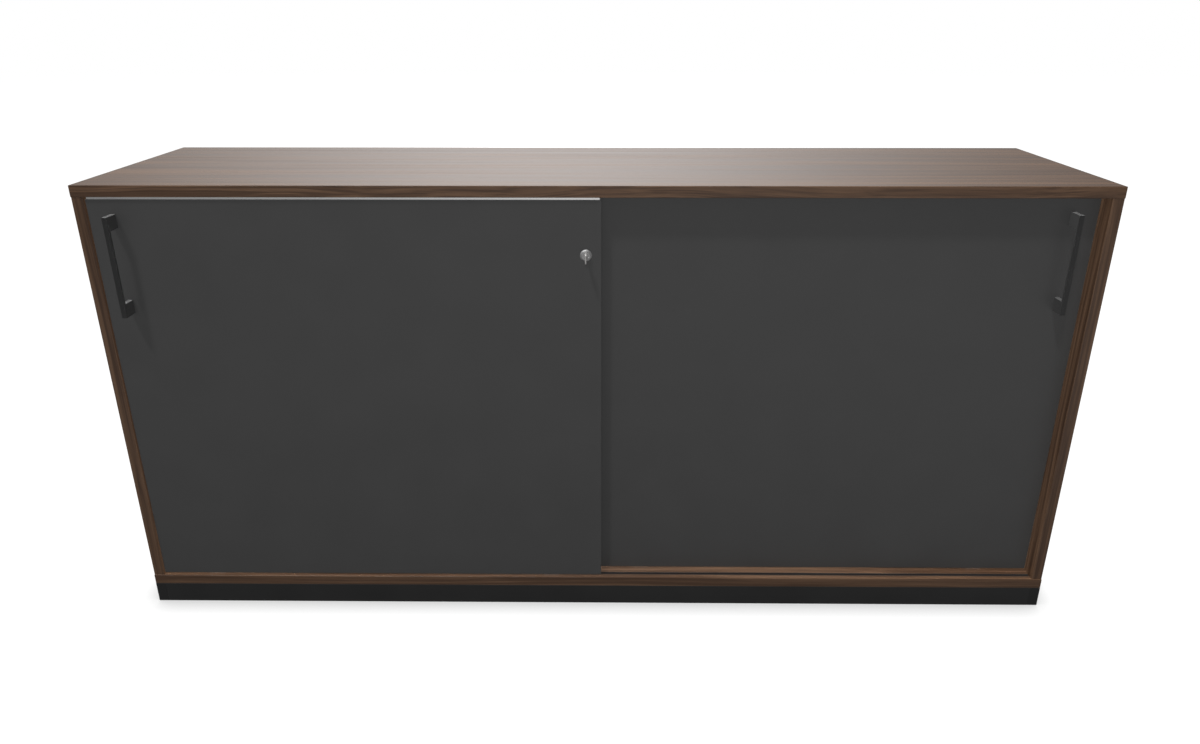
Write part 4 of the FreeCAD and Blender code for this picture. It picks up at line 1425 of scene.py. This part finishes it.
@dataclass
class Studio:
    """The pale floor, the soft light and the camera."""

    floor_half: float = 14.0
    floor_tone: float = 0.095
    floor_glow: Pair = (0.50, 0.95)
    # The painted contact shadow: how far the floor looks for the cabinet, and the occlusion range that dims
    # its lift.
    painted_shade_reach: float = 0.06
    painted_shade_range: Pair = (0.5, 1.0)
    mirror_low: float = 0.07
    mirror_rise: float = 0.75
    mirror_depth: float = 1.6
    mirror_width: float = 2.6
    mirror_middle: float = 0.7
    ambient: float = 0.13
    backdrop_low: float = 0.05
    pools: tuple[Pool, ...] = (
        Pool((-0.065, 0.95, 0.31), 1.15, 0.075),
        Pool((-0.50, -0.60, 0.62), 0.6, 0.25),
    )
    key_strength: float = 1.22
    key_spread: float = 6.0
    key_direction: Triple = (0.68, 1.0, -2.35)
    lamps: tuple[Lamp, ...] = (
        Lamp("left_fill", (-1.2, -3.6, 6.0), 1600.0),
        Lamp("right_fill", (4.0, -3.6, 3.0), 240.0),
        Lamp("left_side_fill", (-5.0, -0.2, 0.4), 500.0),
        Lamp("right_side_fill", (5.0, -0.2, 0.4), 700.0),
        Lamp("back_fill", (0.0, 5.0, 0.4), 600.0),
        Lamp("overhead_fill", (1.2, 0.1, 7.0), 850.0),
        Lamp("left_accent", (-2.64, 3.15, 5.30), 1100.0, "front_door_handle"),
        Lamp("right_accent", (2.54, 3.22, 5.30), 720.0, "rear_door_handle"),
        Lamp("right_inner_accent", (-1.60, 2.40, 1.40), 170.0, "rear_door_handle"),
        Lamp("key_accent", (-0.11, 3.64, 5.25), 400.0, "lock_key"),
        Lamp("bottom_left_accent", (-1.60, 4.70, 4.10), 80.0, "bottom_panel"),
        Lamp("bottom_right_accent", (0.70, 4.70, 4.10), 80.0, "bottom_panel"),
    )
    eye: Triple = (0.02074, -1.56011, 1.00671)
    yaw: float = 0.5653
    pitch: float = -22.102
    roll: float = 0.0302
    lens_pixels: float = 898.09
    image_width: float = 1200.0
    sensor: float = 36.0

    def build(self) -> None:
        """Build the set round the cabinet."""
        self.lay_floor()
        self.light_world()
        self.hang_key()
        for lamp in self.lamps:
            lamp.hang()
        self.place_camera()
        bpy.context.scene.view_settings.view_transform = "Standard"
        log.info("studio is set, with %d lamps and a key light", len(self.lamps))

    def seen_rays(self, graph: Graph) -> tuple[Socket, Socket]:
        """The rays that see the background.

        Args:
            graph: The nodes to add to.

        Returns:
            A socket that is 1 for camera rays, and one that is 1 for reflected and refracted rays.
        """
        path = graph.add("LightPath")
        mirrored = graph.math("MAXIMUM", path.outputs["Is Glossy Ray"], path.outputs["Is Transmission Ray"])
        return path.outputs["Is Camera Ray"], mirrored

    def lay_floor(self) -> None:
        """A pale floor lifted to white for the camera, which keeps the real shadow and adds a painted contact
        shadow.
        """
        form = Form()
        half = self.floor_half
        corners = [(-half, -half, 0), (half, -half, 0), (half, half, 0), (-half, half, 0)]
        form.mesh.faces.new(form.ring([Vector(corner) for corner in corners]))
        floor = placed("studio_floor", form.to_mesh("studio_floor"))
        material = bpy.data.materials.new("pale_floor")
        graph = Graph(material)
        camera, mirrored = self.seen_rays(graph)
        # Painted contact shadow: the lift for the camera dims where ambient occlusion finds the cabinet
        # close; the real shadow stays in the matt part.
        near = graph.add("AmbientOcclusion", {"Distance": self.painted_shade_reach}).outputs["AO"]
        glow = graph.math("MULTIPLY", camera, graph.spread(near, self.floor_glow, self.painted_shade_range))
        matt = graph.add("BsdfDiffuse", {"Color": (*even(self.floor_tone), 1.0)}).outputs["BSDF"]
        lift = graph.add("Emission", {"Strength": glow}).outputs["Emission"]
        seen = graph.add("AddShader", {0: matt, 1: lift}).outputs["Shader"]
        image = graph.add("Emission", {"Strength": self.mirror_level(graph)}).outputs["Emission"]
        both = graph.add("MixShader", {0: mirrored, 1: seen, 2: image}).outputs["Shader"]
        graph.add("OutputMaterial", {"Surface": both})
        floor.data.materials.append(material)

    def mirror_level(self, graph: Graph) -> Socket:
        """How bright the floor looks in reflections: palest well in front of the cabinet and behind it.

        Args:
            graph: The floor's nodes.

        Returns:
            A value socket.
        """
        spot = graph.add("SeparateXYZ", {"Vector": graph.place()})
        away = graph.math("DIVIDE", graph.math("ABSOLUTE", spot.outputs["Y"]), -self.mirror_depth)
        offset = graph.math("SUBTRACT", spot.outputs["X"], self.mirror_middle)
        side = graph.math("DIVIDE", offset, self.mirror_width)
        across = graph.math("EXPONENT", graph.math("MULTIPLY", graph.math("MULTIPLY", side, side), -1.0))
        rise = graph.math("SUBTRACT", 1.0, graph.math("EXPONENT", away))
        pale = graph.math("MULTIPLY", graph.math("MULTIPLY", rise, across), self.mirror_rise)
        return graph.math("ADD", pale, self.mirror_low)

    def light_world(self) -> None:
        """Even light all round, and a backdrop that is white for the camera and pooled in reflections."""
        world = bpy.data.worlds.new("studio_world")
        bpy.context.scene.world = world
        graph = Graph(world)
        camera, mirrored = self.seen_rays(graph)
        ray = graph.add("TexCoord").outputs["Generated"]
        backdrop = self.backdrop_low
        for pool in self.pools:
            toward = tuple(Vector(pool.direction).normalized())
            facing_it = graph.add("VectorMath", {0: ray, 1: toward}, operation="DOT_PRODUCT").outputs["Value"]
            falloff = graph.math("DIVIDE", graph.math("SUBTRACT", facing_it, 1.0), pool.spread)
            glow = graph.math("MULTIPLY", graph.math("EXPONENT", falloff), pool.peak)
            backdrop = graph.math("ADD", glow, backdrop)
        reflected = graph.math("MULTIPLY", mirrored, graph.math("SUBTRACT", backdrop, self.ambient))
        shown = graph.math("MULTIPLY", camera, 1.0 - self.ambient)
        level = graph.math("ADD", graph.math("ADD", reflected, self.ambient), shown)
        light = graph.add("Background", {"Color": (1.0, 1.0, 1.0, 1.0), "Strength": level})
        graph.add("OutputWorld", {"Surface": light.outputs["Background"]})

    def hang_key(self) -> None:
        """A key light from the upper left front, which casts the soft shadows."""
        data = bpy.data.lights.new("key_light", "SUN")
        data.energy = self.key_strength
        data.angle = math.radians(self.key_spread)
        lamp = placed("key_light", data)
        lamp.rotation_mode = "QUATERNION"
        lamp.rotation_quaternion = Vector(self.key_direction).to_track_quat("-Z", "Y")

    def place_camera(self) -> None:
        """A camera where the photograph was taken from."""
        data = bpy.data.cameras.new("camera")
        data.sensor_width = self.sensor
        data.lens = self.lens_pixels / self.image_width * self.sensor
        camera = placed("camera", data)
        level = Matrix.Rotation(QUARTER, 4, "X")
        yaw = Matrix.Rotation(math.radians(self.yaw), 4, "Z")
        pitch = Matrix.Rotation(math.radians(self.pitch), 4, "X")
        roll = Matrix.Rotation(math.radians(self.roll), 4, "Y")
        camera.matrix_world = Matrix.Translation(self.eye) @ yaw @ pitch @ roll @ level
        bpy.context.scene.camera = camera


def main() -> None:
    """Build the sub-assemblies in order."""
    logging.basicConfig(level=logging.INFO, format="%(name)s: %(message)s")
    Carcass().build()
    Plinth().build()
    for door in Door:
        SlidingDoor(door).build()
    PushLock().build()
    Studio().build()


if __name__ == "__main__":
    main()
